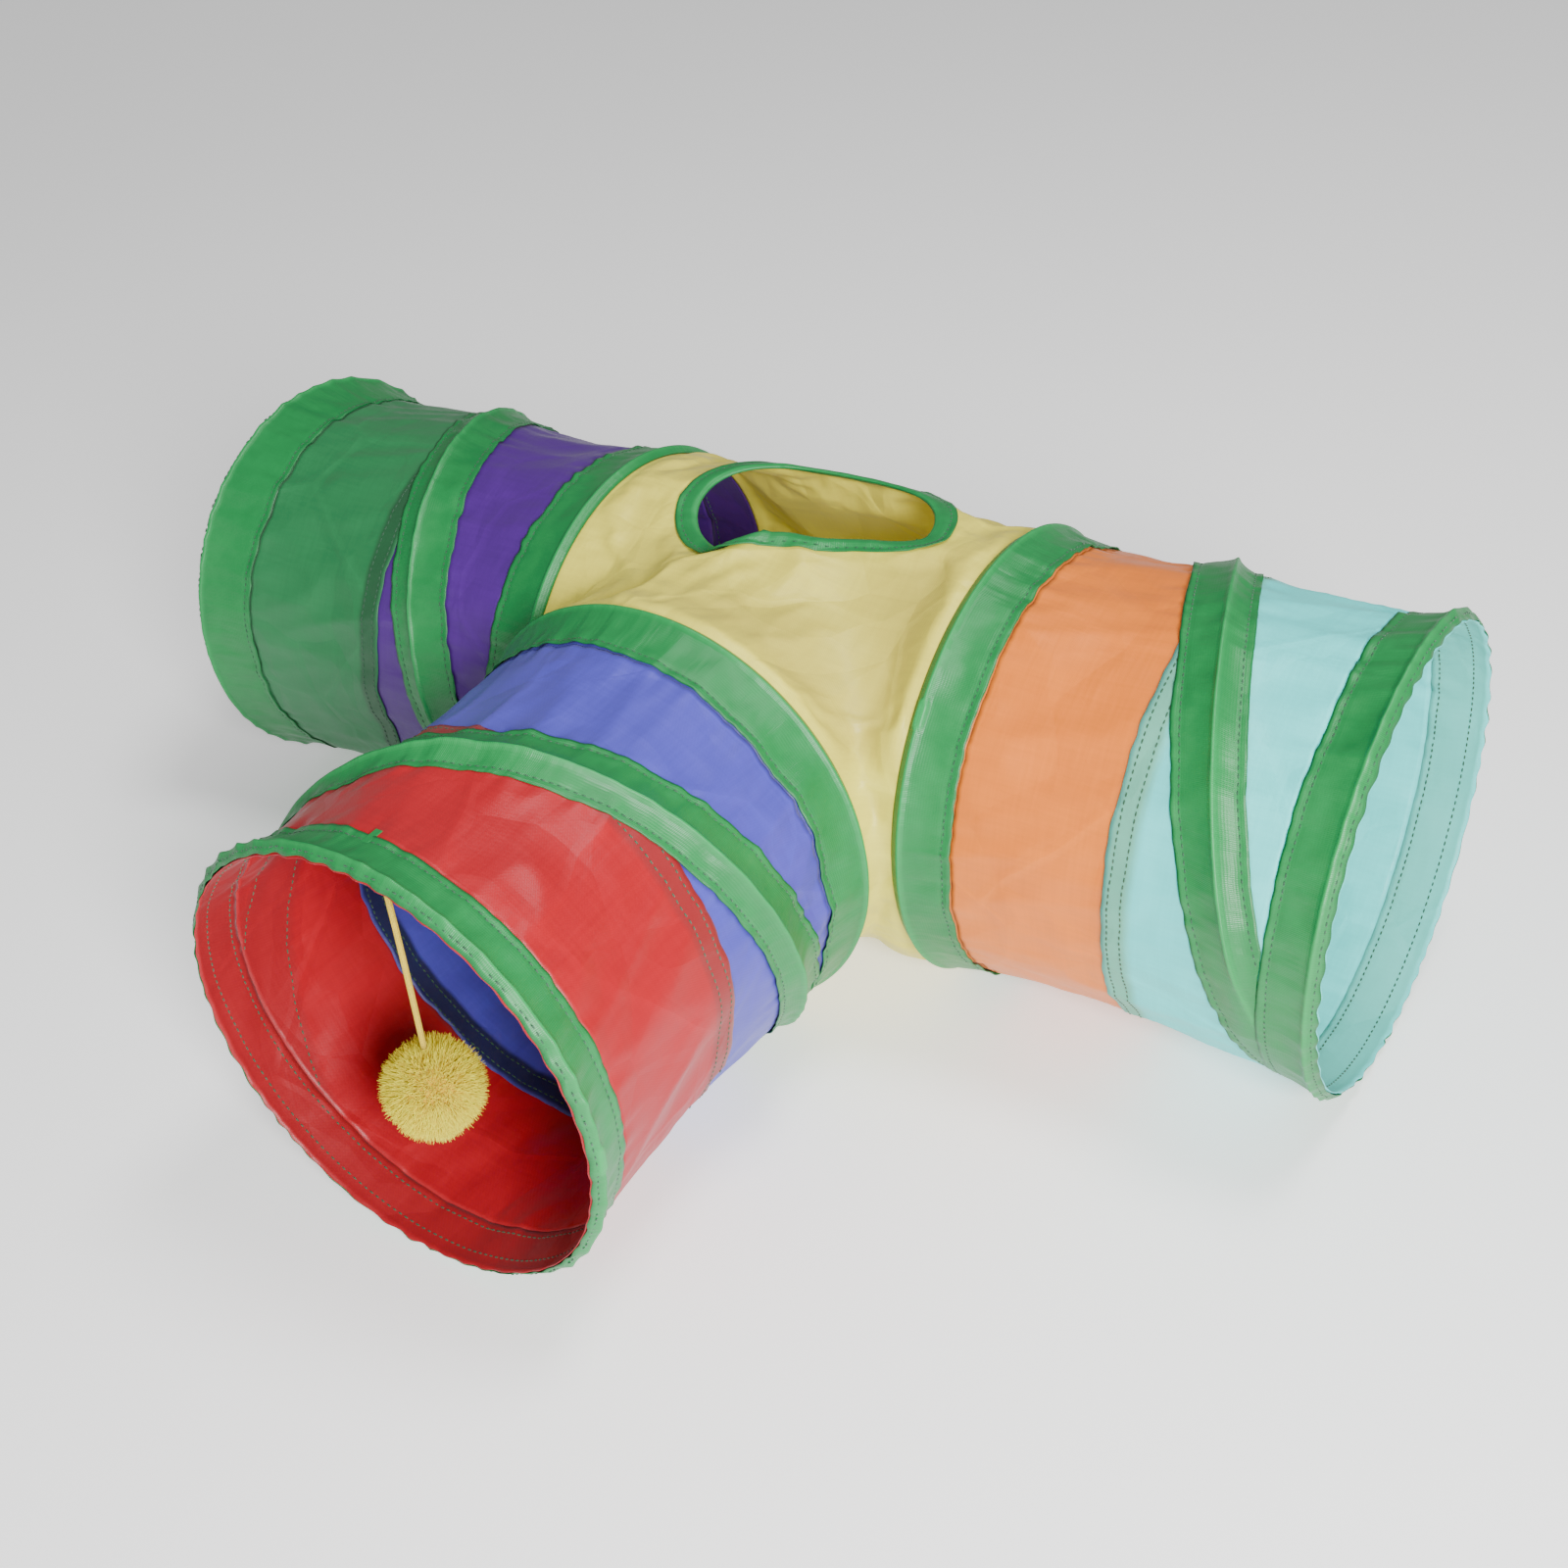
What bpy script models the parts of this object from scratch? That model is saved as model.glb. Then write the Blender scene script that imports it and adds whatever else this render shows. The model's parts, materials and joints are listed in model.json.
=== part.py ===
"""Collapsible three-way pet tunnel: a T of three cloth tubes on spring-steel rings and coils.

A yellow cloth hub joins a left, a right and a front arm. Each arm is two cloth panels lapped in the
middle, a sewn tape over a closed wire ring at each end, and a tape over a wire coil between them.
A pompom hangs on a cord inside the front mouth. Metres, +Z up. The origin is on the floor, under
the middle of the whole outline. The main tube runs along X and the front arm points to -Y.
"""

import math

import bmesh
import bpy
from mathutils import Matrix, Vector

# Round pieces, measured from an axis to the middle of a flat.
RING_RADIUS = 0.125
SIDES = 36

# Cloth, tape and wire.
CLOTH = 0.0006
TAPE = 0.0006
WIRE_DIAMETER = 0.0018
GAP = 0.0003
COIL_INSET = 0.0006
CREST_WIDTH = 0.007
CREST_SETBACK = 0.0015

# Crimp sleeves that close the wire rings.
CRIMP_WALL = 0.0005
CRIMP_LENGTH = 0.012
CRIMP_SIDES = 12

# Each arm: its direction along the floor, where its first ring stands from the crossing (a ring's
# radius and a clearance, which is negative where the ring cuts into the crossing tube), its length,
# the widths of its three tapes, where the outer panel starts and how far it laps, and its coil:
# the place where the coil crosses the top and the length of one full turn.
ARMS = {
    "left": {
        "along": (-1, 0, 0), "start": RING_RADIUS - 0.023, "length": 0.270,
        "hub_tape": 0.035, "coil_tape": 0.042, "mouth_tape": 0.042,
        "seam": 0.122, "lap": 0.016, "coil_top": 0.124, "coil_turn": 0.209,
        "inner_colour": "purple", "outer_colour": "leaf", "hub_crimp": 150, "mouth_crimp": 150,
    },
    "right": {
        "along": (1, 0, 0), "start": RING_RADIUS + 0.007, "length": 0.221,
        "hub_tape": 0.031, "coil_tape": 0.037, "mouth_tape": 0.029,
        "seam": 0.111, "lap": 0.014, "coil_top": 0.119, "coil_turn": 0.241,
        "inner_colour": "orange", "outer_colour": "aqua", "hub_crimp": 50, "mouth_crimp": 160,
    },
    "front": {
        "along": (0, -1, 0), "start": RING_RADIUS + 0.0015, "length": 0.2345,
        "hub_tape": 0.033, "coil_tape": 0.038, "mouth_tape": 0.027,
        "seam": 0.114, "lap": 0.015, "coil_top": 0.131, "coil_turn": 0.248,
        "inner_colour": "blue", "outer_colour": "red", "hub_crimp": 160, "mouth_crimp": -90,
    },
}

# Peephole in the top of the hub: half length and half width of the opening.
PEEPHOLE_X = 0.020
PEEPHOLE_HALF_LENGTH = 0.070
PEEPHOLE_HALF_WIDTH = 0.046
BINDING_WIDTH = 0.012
BINDING_SIDES = 32

# Pompom, its cord, the knot on top of the cord and the sewn tack that holds the knot.
POMPOM_RADIUS = 0.0255
POMPOM_DROP = 0.1475
CORD_DIAMETER = 0.0032
CORD_POINTS = 16
KNOT_RADIUS = 0.0028
TACK_SIZE = (0.010, 0.004, 0.0012)
TACK_BEVEL = 0.0003
TACK_SETBACK = 0.0265

# How far a cutter runs past what it cuts.
CUT_PAST = 0.010

# Places worked out from the sizes above.
STEP = 2 * math.pi / SIDES
CRIMP_RADIUS = WIRE_DIAMETER / 2 + GAP + CRIMP_WALL
TAPE_CREST = RING_RADIUS - TAPE
WIRE_CIRCLE = TAPE_CREST - GAP - CRIMP_RADIUS
OUTER_CLOTH = WIRE_CIRCLE - CRIMP_RADIUS - GAP
INNER_CLOTH = OUTER_CLOTH - CLOTH - GAP
TAPE_BASE = OUTER_CLOTH + GAP
HUB_CLOTH = OUTER_CLOTH

# Colour, roughness and metallic value of each material.
FINISHES = {
    "green_tape": ((0.045, 0.400, 0.110), 0.45, 0.0),
    "yellow_cloth": ((0.760, 0.640, 0.220), 0.40, 0.0),
    "purple_cloth": ((0.130, 0.045, 0.300), 0.40, 0.0),
    "leaf_cloth": ((0.070, 0.330, 0.140), 0.40, 0.0),
    "orange_cloth": ((0.780, 0.260, 0.080), 0.40, 0.0),
    "aqua_cloth": ((0.370, 0.830, 0.740), 0.40, 0.0),
    "blue_cloth": ((0.110, 0.130, 0.480), 0.40, 0.0),
    "red_cloth": ((0.610, 0.035, 0.040), 0.40, 0.0),
    "spring_steel": ((0.550, 0.560, 0.570), 0.30, 1.0),
    "pompom_yarn": ((0.860, 0.620, 0.060), 0.90, 0.0),
    "yellow_cord": ((0.800, 0.620, 0.130), 0.70, 0.0),
    "green_thread": ((0.020, 0.200, 0.060), 0.60, 0.0),
}


def clear_scene():
    for obj in list(bpy.data.objects):
        bpy.data.objects.remove(obj, do_unlink=True)


def new_collection(name):
    collection = bpy.data.collections.new(name)
    bpy.context.scene.collection.children.link(collection)
    return collection


def make_materials():
    materials = {}
    for name, (colour, roughness, metallic) in FINISHES.items():
        material = bpy.data.materials.new(name)
        material.use_nodes = True
        shader = material.node_tree.nodes["Principled BSDF"]
        shader.inputs["Base Color"].default_value = (*colour, 1.0)
        shader.inputs["Roughness"].default_value = roughness
        shader.inputs["Metallic"].default_value = metallic
        materials[name] = material
    return materials


def vertex_radius(flat_radius, sides=SIDES):
    """The corner radius of a polygon whose flats lie at flat_radius."""
    return flat_radius / math.cos(math.pi / sides)


def flat_angle(degrees):
    """The middle of the flat nearest to an angle, counted from the top."""
    return round(math.radians(degrees) / STEP) * STEP


class Builder:
    """Holds the two collections, the materials and the crossing that every piece hangs from."""

    def __init__(self):
        self.parts = new_collection("pet_tunnel")
        self.cutters = new_collection("cutters")
        self.materials = make_materials()
        self.crossing = self.empty("crossing", Matrix.Translation(crossing_place()))

    def empty(self, name, matrix, parent=None):
        marker = bpy.data.objects.new(name, None)
        self.parts.objects.link(marker)
        marker.parent = parent
        marker.matrix_local = matrix
        return marker

    def add(self, name, data, finish, parent):
        obj = bpy.data.objects.new(name, data)
        self.parts.objects.link(obj)
        obj.parent = parent
        data.materials.append(self.materials[finish])
        return obj

    def add_cutter(self, name, mesh, parent):
        obj = bpy.data.objects.new(name, mesh)
        self.cutters.objects.link(obj)
        obj.parent = parent
        obj.hide_render = True
        obj.display_type = "WIRE"
        return obj


def crossing_place():
    """The crossing of the tube axes, placed so that the outline is centred over the origin."""
    left, right, front = (ARMS[name]["start"] + ARMS[name]["length"] for name in ("left", "right", "front"))
    return Vector(((left - right) / 2, (front - RING_RADIUS) / 2, RING_RADIUS))


def arm_matrix(arm):
    """Local +Z along the arm from its first ring, local +X up."""
    along = Vector(arm["along"])
    up = Vector((0, 0, 1))
    side = along.cross(up)
    turn = Matrix((up, side, along)).transposed().to_4x4()
    return Matrix.Translation(along * arm["start"]) @ turn


def ring_point(radius, angle, along=0.0):
    return Vector((radius * math.cos(angle), radius * math.sin(angle), along))


def boolean(obj, operation, cutter):
    modifier = obj.modifiers.new(f"{operation.lower()}_{cutter.name}", "BOOLEAN")
    modifier.operation = operation
    modifier.object = cutter


def smooth(obj):
    obj.data.shade_smooth()
    obj.data.set_sharp_from_angle(angle=math.radians(30))


def turned_mesh(name, profile, start_angle):
    """An open outline of (radius, along) points, listed from the mouth end to the hub end."""
    mesh = bpy.data.meshes.new(name)
    shape = bmesh.new()
    corners = [shape.verts.new(ring_point(vertex_radius(r), start_angle, along)) for r, along in profile]
    for first, second in zip(corners, corners[1:]):
        shape.edges.new((first, second))
    shape.to_mesh(mesh)
    shape.free()
    return mesh


def turn(obj, thickness, sweep=SIDES, rise=0.0):
    """Sweeps the outline round local Z by a number of flats, then gives it its thickness inwards."""
    screw = obj.modifiers.new("turn", "SCREW")
    screw.axis = "Z"
    screw.angle = sweep * STEP
    screw.screw_offset = rise
    screw.steps = sweep + (sweep < SIDES)
    screw.render_steps = screw.steps
    screw.use_merge_vertices = sweep == SIDES
    screw.merge_threshold = 0.0001
    wall = obj.modifiers.new("wall", "SOLIDIFY")
    wall.thickness = thickness
    wall.offset = -1


def cylinder_mesh(name, radius, low, high, matrix, sides=SIDES, scale=(1, 1, 1)):
    """A closed cylinder between two heights of its own axis, with flats facing the local X axis."""
    mesh = bpy.data.meshes.new(name)
    shape = bmesh.new()
    place = Matrix.Translation((0, 0, (low + high) / 2)) @ Matrix.Rotation(math.pi / sides, 4, "Z")
    size = Matrix.Diagonal((*scale, 1))
    bmesh.ops.create_cone(
        shape, cap_ends=True, segments=sides, radius1=radius, radius2=radius,
        depth=high - low, matrix=matrix @ size @ place,
    )
    shape.to_mesh(mesh)
    shape.free()
    return mesh


def clip_mesh(mesh, point, normal):
    """Cuts away what lies on the normal's side of a plane and closes the cut."""
    shape = bmesh.new()
    shape.from_mesh(mesh)
    parts = shape.verts[:] + shape.edges[:] + shape.faces[:]
    cut = bmesh.ops.bisect_plane(shape, geom=parts, plane_co=point, plane_no=normal, clear_outer=True)
    rim = [part for part in cut["geom_cut"] if isinstance(part, bmesh.types.BMEdge)]
    bmesh.ops.contextual_create(shape, geom=rim)
    bmesh.ops.recalc_face_normals(shape, faces=shape.faces)
    shape.to_mesh(mesh)
    shape.free()


def make_tape(build, name, profile, frame):
    obj = build.add(name, turned_mesh(name, profile, STEP / 2), "green_tape", frame)
    turn(obj, TAPE)
    smooth(obj)
    return obj


def tape_profile(width):
    """A ring tape's outline, from its inner edge to its ring's edge, as radius and distance."""
    base = TAPE_BASE + TAPE
    crest_end = CREST_SETBACK + CREST_WIDTH
    return [(base, width), (RING_RADIUS, crest_end), (RING_RADIUS, CREST_SETBACK), (base, 0.0)]


def mouth_tape_profile(arm):
    return [(radius, arm["length"] - along) for radius, along in reversed(tape_profile(arm["mouth_tape"]))]


def make_ring_wire(build, name, along, frame):
    curve = bpy.data.curves.new(name, "CURVE")
    curve.dimensions = "3D"
    curve.bevel_depth = WIRE_DIAMETER / 2
    curve.bevel_resolution = 1
    spline = curve.splines.new("POLY")
    spline.points.add(SIDES - 1)
    spline.use_cyclic_u = True
    radius = vertex_radius(WIRE_CIRCLE)
    for number, point in enumerate(spline.points):
        point.co = (*ring_point(radius, (number + 0.5) * STEP, along), 1)
    build.add(name, curve, "spring_steel", frame)


def make_crimp(build, name, degrees, along, frame):
    """A short sleeve round the wire, where the wire's closed ring is joined."""
    middle = ring_point(WIRE_CIRCLE, flat_angle(degrees), along)
    tangent = Vector((0, 0, 1)).cross(middle - Vector((0, 0, along))).normalized()
    mesh = bpy.data.meshes.new(name)
    shape = bmesh.new()
    bore = CRIMP_RADIUS - CRIMP_WALL
    outline = [(CRIMP_RADIUS, CRIMP_LENGTH / 2), (CRIMP_RADIUS, -CRIMP_LENGTH / 2),
               (bore, -CRIMP_LENGTH / 2), (bore, CRIMP_LENGTH / 2)]
    corners = [shape.verts.new((radius, 0, height)) for radius, height in outline]
    for first, second in zip(corners, corners[1:] + corners[:1]):
        shape.edges.new((first, second))
    shape.to_mesh(mesh)
    shape.free()
    obj = build.add(name, mesh, "spring_steel", frame)
    obj.location = middle
    obj.rotation_euler = tangent.to_track_quat("Z", "X").to_euler()
    screw = obj.modifiers.new("turn", "SCREW")
    screw.steps = CRIMP_SIDES
    screw.render_steps = CRIMP_SIDES
    screw.use_merge_vertices = True
    screw.merge_threshold = 0.0001
    smooth(obj)


def make_panel(build, name, radius, low, high, finish, frame):
    obj = build.add(name, turned_mesh(name, [(radius, high), (radius, low)], STEP / 2), finish, frame)
    turn(obj, CLOTH)
    smooth(obj)


def coil_rise(arm):
    """How far the coil climbs along the arm over one flat."""
    return arm["coil_turn"] / SIDES


def coil_span(arm):
    """The first and last flat of the coil tape, counted from the top, past both ring tapes."""
    first = math.floor((arm["hub_tape"] - arm["coil_tape"] - arm["coil_top"]) / coil_rise(arm))
    free_end = arm["length"] - arm["mouth_tape"]
    last = math.ceil((free_end + arm["coil_tape"] - arm["coil_top"]) / coil_rise(arm))
    return first, last


def make_coil_tape(build, name, arm, frame):
    """A taped strip that climbs from one ring tape to the other and is trimmed along both."""
    first, last = coil_span(arm)
    crest = RING_RADIUS - COIL_INSET
    base = TAPE_BASE + TAPE
    middle = arm["coil_top"] + first * coil_rise(arm)
    half, crest_half = arm["coil_tape"] / 2, CREST_WIDTH / 2
    profile = [(base, middle + half), (crest, middle + crest_half),
               (crest, middle - crest_half), (base, middle - half)]
    mesh = turned_mesh(name, profile, (first + 0.5) * STEP)
    obj = build.add(name, mesh, "green_tape", frame)
    turn(obj, TAPE, sweep=last - first, rise=(last - first) * coil_rise(arm))
    keep = cylinder_mesh(f"{name}_keep", 2 * RING_RADIUS, arm["hub_tape"] + GAP,
                         arm["length"] - arm["mouth_tape"] - GAP, Matrix.Identity(4), 8)
    boolean(obj, "INTERSECT", build.add_cutter(f"{name}_keep", keep, frame))


def make_coil_wire(build, name, arm, frame):
    """The spring wire inside the coil tape, between the two ring tapes."""
    curve = bpy.data.curves.new(name, "CURVE")
    curve.dimensions = "3D"
    curve.bevel_depth = WIRE_DIAMETER / 2
    curve.bevel_resolution = 1
    curve.use_fill_caps = True
    end_room = WIRE_DIAMETER + GAP
    low = arm["hub_tape"] + end_room
    high = arm["length"] - arm["mouth_tape"] - end_room
    first, last = coil_span(arm)
    middles = [number + 0.5 for number in range(first, last)]
    places = [(number, arm["coil_top"] + (number - 0.5) * coil_rise(arm)) for number in middles]
    inside = [(number, along) for number, along in places if low < along < high]
    spline = curve.splines.new("POLY")
    spline.points.add(len(inside) - 1)
    radius = vertex_radius(WIRE_CIRCLE - COIL_INSET)
    for point, (number, along) in zip(spline.points, inside):
        point.co = (*ring_point(radius, number * STEP, along), 1)
    build.add(name, curve, "spring_steel", frame)


def make_arm(build, name, arm):
    frame = build.empty(f"{name}_arm", arm_matrix(arm), build.crossing)
    length = arm["length"]
    wire_setback = CREST_SETBACK + CREST_WIDTH / 2
    make_tape(build, f"{name}_hub_tape", tape_profile(arm["hub_tape"]), frame)
    make_tape(build, f"{name}_mouth_tape", mouth_tape_profile(arm), frame)
    for end, along in (("hub", wire_setback), ("mouth", length - wire_setback)):
        make_ring_wire(build, f"{name}_{end}_ring_wire", along, frame)
        make_crimp(build, f"{name}_{end}_crimp", arm[f"{end}_crimp"], along, frame)
    make_panel(build, f"{name}_inner_panel", INNER_CLOTH, 0.0, arm["seam"] + arm["lap"],
               f"{arm['inner_colour']}_cloth", frame)
    make_panel(build, f"{name}_outer_panel", OUTER_CLOTH, arm["seam"], length,
               f"{arm['outer_colour']}_cloth", frame)
    make_coil_tape(build, f"{name}_coil_tape", arm, frame)
    make_coil_wire(build, f"{name}_coil_wire", arm, frame)
    return frame


def along_x():
    """Turns a cylinder's own axis, +Z, to +X, and its local X up."""
    return arm_matrix({"along": (1, 0, 0), "start": 0.0})


def along_front():
    return arm_matrix({"along": (0, -1, 0), "start": 0.0})


def branch_mesh(name, radius, reach, wall):
    """The hub's front tube, cut off beside the left ring, where the front ring is wider than the hub."""
    mesh = cylinder_mesh(name, vertex_radius(radius), 0.0, reach, along_front())
    limit = ARMS["left"]["start"] - 2 * GAP - wall
    clip_mesh(mesh, (-limit, 0, 0), (-1, 0, 0))
    return mesh


def add_tee(build, obj, radius, past=0.0, wall=0.0):
    """Gives an empty object the hub's solid shape: a main tube and its front branch."""
    low, high = -ARMS["left"]["start"] + GAP - past, ARMS["right"]["start"] - GAP + past
    shape = bmesh.new()
    shape.from_mesh(cylinder_mesh(f"{obj.name}_main", vertex_radius(radius), low, high, along_x()))
    shape.to_mesh(obj.data)
    shape.free()
    name = f"{obj.name}_branch"
    branch = branch_mesh(name, radius, ARMS["front"]["start"] - GAP + past, wall)
    boolean(obj, "UNION", build.add_cutter(name, branch, build.crossing))


def tee_cutter(build, name, radius, past, wall):
    cutter = build.add_cutter(name, bpy.data.meshes.new(name), build.crossing)
    add_tee(build, cutter, radius, past, wall)
    return cutter


def oval_cutter(build, name, margin):
    """An oval plug through the top of the hub, larger than the opening by the margin all round."""
    scale = (PEEPHOLE_HALF_LENGTH + margin, PEEPHOLE_HALF_WIDTH + margin, 1)
    place = Matrix.Translation((PEEPHOLE_X, 0, 0))
    mesh = cylinder_mesh(name, 1.0, HUB_CLOTH / 2, HUB_CLOTH * 1.5, place, BINDING_SIDES, scale)
    return build.add_cutter(name, mesh, build.crossing)


def make_hub_sleeve(build):
    """A tube with a front branch, open at its three rings and at the peephole."""
    sleeve = build.add("hub_sleeve", bpy.data.meshes.new("hub_sleeve"), "yellow_cloth", build.crossing)
    add_tee(build, sleeve, HUB_CLOTH)
    boolean(sleeve, "DIFFERENCE", tee_cutter(build, "hub_bore", HUB_CLOTH - CLOTH, CUT_PAST, CLOTH))
    boolean(sleeve, "DIFFERENCE", oval_cutter(build, "peephole", TAPE + GAP))
    smooth(sleeve)


def make_peephole_binding(build):
    """A tape folded round the edge of the peephole, as a channel that holds the sleeve's edge."""
    mesh = bpy.data.meshes.new("peephole_binding")
    binding = build.add("peephole_binding", mesh, "green_tape", build.crossing)
    add_tee(build, binding, HUB_CLOTH + GAP + TAPE)
    inside = HUB_CLOTH - CLOTH - GAP
    slot = tee_cutter(build, "slot", HUB_CLOTH + GAP, CUT_PAST, 0.0)
    boolean(slot, "DIFFERENCE", tee_cutter(build, "slot_bore", inside, 2 * CUT_PAST, 0.0))
    boolean(slot, "DIFFERENCE", oval_cutter(build, "slot_plug", TAPE))
    boolean(binding, "INTERSECT", oval_cutter(build, "binding_outline", BINDING_WIDTH))
    boolean(binding, "DIFFERENCE", tee_cutter(build, "binding_bore", inside - TAPE, CUT_PAST, 0.0))
    boolean(binding, "DIFFERENCE", oval_cutter(build, "binding_opening", 0.0))
    boolean(binding, "DIFFERENCE", slot)
    smooth(binding)


def make_ball(build, name, radius, subdivisions, finish, frame):
    mesh = bpy.data.meshes.new(name)
    shape = bmesh.new()
    bmesh.ops.create_icosphere(shape, subdivisions=subdivisions, radius=radius)
    shape.to_mesh(mesh)
    shape.free()
    mesh.shade_smooth()
    return build.add(name, mesh, finish, frame)


def make_pompom(build, front_frame):
    """Tack, knot, cord and pompom, which hang from the cloth at the top of the front mouth."""
    along = ARMS["front"]["length"] - TACK_SETBACK
    ceiling = OUTER_CLOTH - CLOTH
    tack_middle = ceiling - GAP - TACK_SIZE[2] / 2
    mesh = bpy.data.meshes.new("cord_tack")
    shape = bmesh.new()
    size = Matrix.Diagonal((TACK_SIZE[2], TACK_SIZE[1], TACK_SIZE[0], 1))
    bmesh.ops.create_cube(shape, size=1.0, matrix=size)
    shape.to_mesh(mesh)
    shape.free()
    tack = build.add("cord_tack", mesh, "green_thread", front_frame)
    tack.location = (tack_middle, 0, along)
    bevel = tack.modifiers.new("round", "BEVEL")
    bevel.width = TACK_BEVEL
    bevel.segments = 2

    knot_height = tack_middle - TACK_SIZE[2] / 2 - GAP - KNOT_RADIUS
    pivot = build.empty("pompom_pivot", Matrix.Translation((knot_height, 0, along)), front_frame)
    make_ball(build, "cord_knot", KNOT_RADIUS, 2, "yellow_cord", pivot)
    pompom = make_ball(build, "pompom", POMPOM_RADIUS, 3, "pompom_yarn", pivot)
    pompom.location = (-POMPOM_DROP, 0, 0)

    curve = bpy.data.curves.new("pompom_cord", "CURVE")
    curve.dimensions = "3D"
    curve.bevel_depth = CORD_DIAMETER / 2
    curve.bevel_resolution = 2
    curve.use_fill_caps = True
    top = KNOT_RADIUS + GAP
    bottom = POMPOM_DROP - POMPOM_RADIUS - GAP
    spline = curve.splines.new("POLY")
    spline.points.add(CORD_POINTS - 1)
    for number, point in enumerate(spline.points):
        drop = top + (bottom - top) * number / (CORD_POINTS - 1)
        point.co = (-drop, 0, 0, 1)
    build.add("pompom_cord", curve, "yellow_cord", pivot)


def main():
    clear_scene()
    build = Builder()
    frames = {name: make_arm(build, name, arm) for name, arm in ARMS.items()}
    make_hub_sleeve(build)
    make_peephole_binding(build)
    make_pompom(build, frames["front"])


main()
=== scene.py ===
"""Cloth, tape, yarn and light for the collapsible pet tunnel, laid out as an add-on and run as a script.

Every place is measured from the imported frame. Along an arm, "along" is the distance from its first
ring and "angle" goes round the arm from its top, by the right-hand rule about the arm's direction.
"""

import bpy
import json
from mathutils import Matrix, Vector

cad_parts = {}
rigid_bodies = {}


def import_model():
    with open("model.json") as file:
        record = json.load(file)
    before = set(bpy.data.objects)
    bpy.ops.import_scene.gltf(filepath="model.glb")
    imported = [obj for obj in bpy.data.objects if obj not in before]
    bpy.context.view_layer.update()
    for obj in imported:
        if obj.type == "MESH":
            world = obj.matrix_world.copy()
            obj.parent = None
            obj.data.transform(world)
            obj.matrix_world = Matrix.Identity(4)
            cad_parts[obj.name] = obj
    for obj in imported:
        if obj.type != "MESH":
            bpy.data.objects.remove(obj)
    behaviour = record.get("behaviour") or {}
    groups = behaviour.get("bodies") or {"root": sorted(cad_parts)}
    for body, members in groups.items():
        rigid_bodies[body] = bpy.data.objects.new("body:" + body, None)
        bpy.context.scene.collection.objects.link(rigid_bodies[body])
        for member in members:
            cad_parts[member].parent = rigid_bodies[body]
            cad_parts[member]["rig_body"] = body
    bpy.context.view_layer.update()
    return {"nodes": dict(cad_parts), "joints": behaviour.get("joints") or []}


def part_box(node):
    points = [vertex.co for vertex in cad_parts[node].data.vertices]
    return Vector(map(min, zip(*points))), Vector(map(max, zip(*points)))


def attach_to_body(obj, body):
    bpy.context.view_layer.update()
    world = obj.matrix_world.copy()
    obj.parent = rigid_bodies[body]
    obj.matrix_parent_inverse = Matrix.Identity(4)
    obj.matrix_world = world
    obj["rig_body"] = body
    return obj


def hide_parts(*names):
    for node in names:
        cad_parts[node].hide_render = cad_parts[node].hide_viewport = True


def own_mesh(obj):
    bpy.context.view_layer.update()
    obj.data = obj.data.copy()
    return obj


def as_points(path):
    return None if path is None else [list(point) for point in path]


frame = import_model()

import json
import math

import bmesh
import bpy
import numpy as np
from bpy.props import FloatProperty, FloatVectorProperty, IntProperty, PointerProperty
from mathutils import Matrix, Vector, noise
from mathutils.bvhtree import BVHTree

bl_info = {
    "name": "Pet Tunnel Dressing",
    "version": (1, 0, 0),
    "blender": (4, 5, 0),
    "location": "3D View > Sidebar > Pet Tunnel",
    "description": "Sews cloth, tape and a pompom onto a three-way pet tunnel",
    "category": "Mesh",
}

ARM_NAMES = ("left", "right", "front")
UP = Vector((0, 0, 1))
FULL_TURN = 2 * math.pi

COIL_CREST = 0.10  # how far the ridge over a coil wire lies off its tape's middle, as a share of the width
UNDER_LAYERS = 1.35  # how deep the inner panel lies under the outer one, in layers
WIRE_RADIUS = 0.0009
TAPE_ROW = 0.0016
WELD = 1e-6


# Settings ---------------------------------------------------------------------------------------

def length_setting(name, description, default):
    return FloatProperty(name=name, description=description, default=default, unit="LENGTH", precision=5)


def colour_setting(name, default):
    return FloatVectorProperty(
        name=name, description=f"Colour of the {name.lower()}", default=default,
        subtype="COLOR", size=3, min=0, max=1,
    )


class TunnelClothSettings(bpy.types.PropertyGroup):
    """Sizes of the cloth, its folds and the tapes."""
    cloth: length_setting("Cloth", "Thickness of the cloth", 0.00035)
    tape: length_setting("Tape", "Thickness of the tape", 0.00045)
    layer: length_setting("Layer", "Step from one sewn layer to the next", 0.0006)
    sag: FloatProperty(name="Sag", description="Sag between two wires, as a share of their distance",
                       default=0.035, min=0, max=0.2)
    fold: length_setting("Fold", "Height of the soft folds", 0.0016)
    crease: length_setting("Crease", "Height of the sharp creases", 0.0026)
    scallop: length_setting("Scallop", "How far the hem waves out past a mouth ring", 0.0010)
    scallop_width: length_setting("Scallop width", "Distance between two waves of the hem", 0.0155)
    margin: length_setting("Margin", "Flat edge of a tape, outside its stitch line", 0.0042)
    wire_setback: length_setting("Wire setback", "From the edge of a ring tape to its wire", 0.005)
    row: length_setting("Row", "Distance between two rows of the cloth's mesh", 0.0028)
    around: IntProperty(name="Around", description="Mesh columns round an arm", default=288, min=36)


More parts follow.
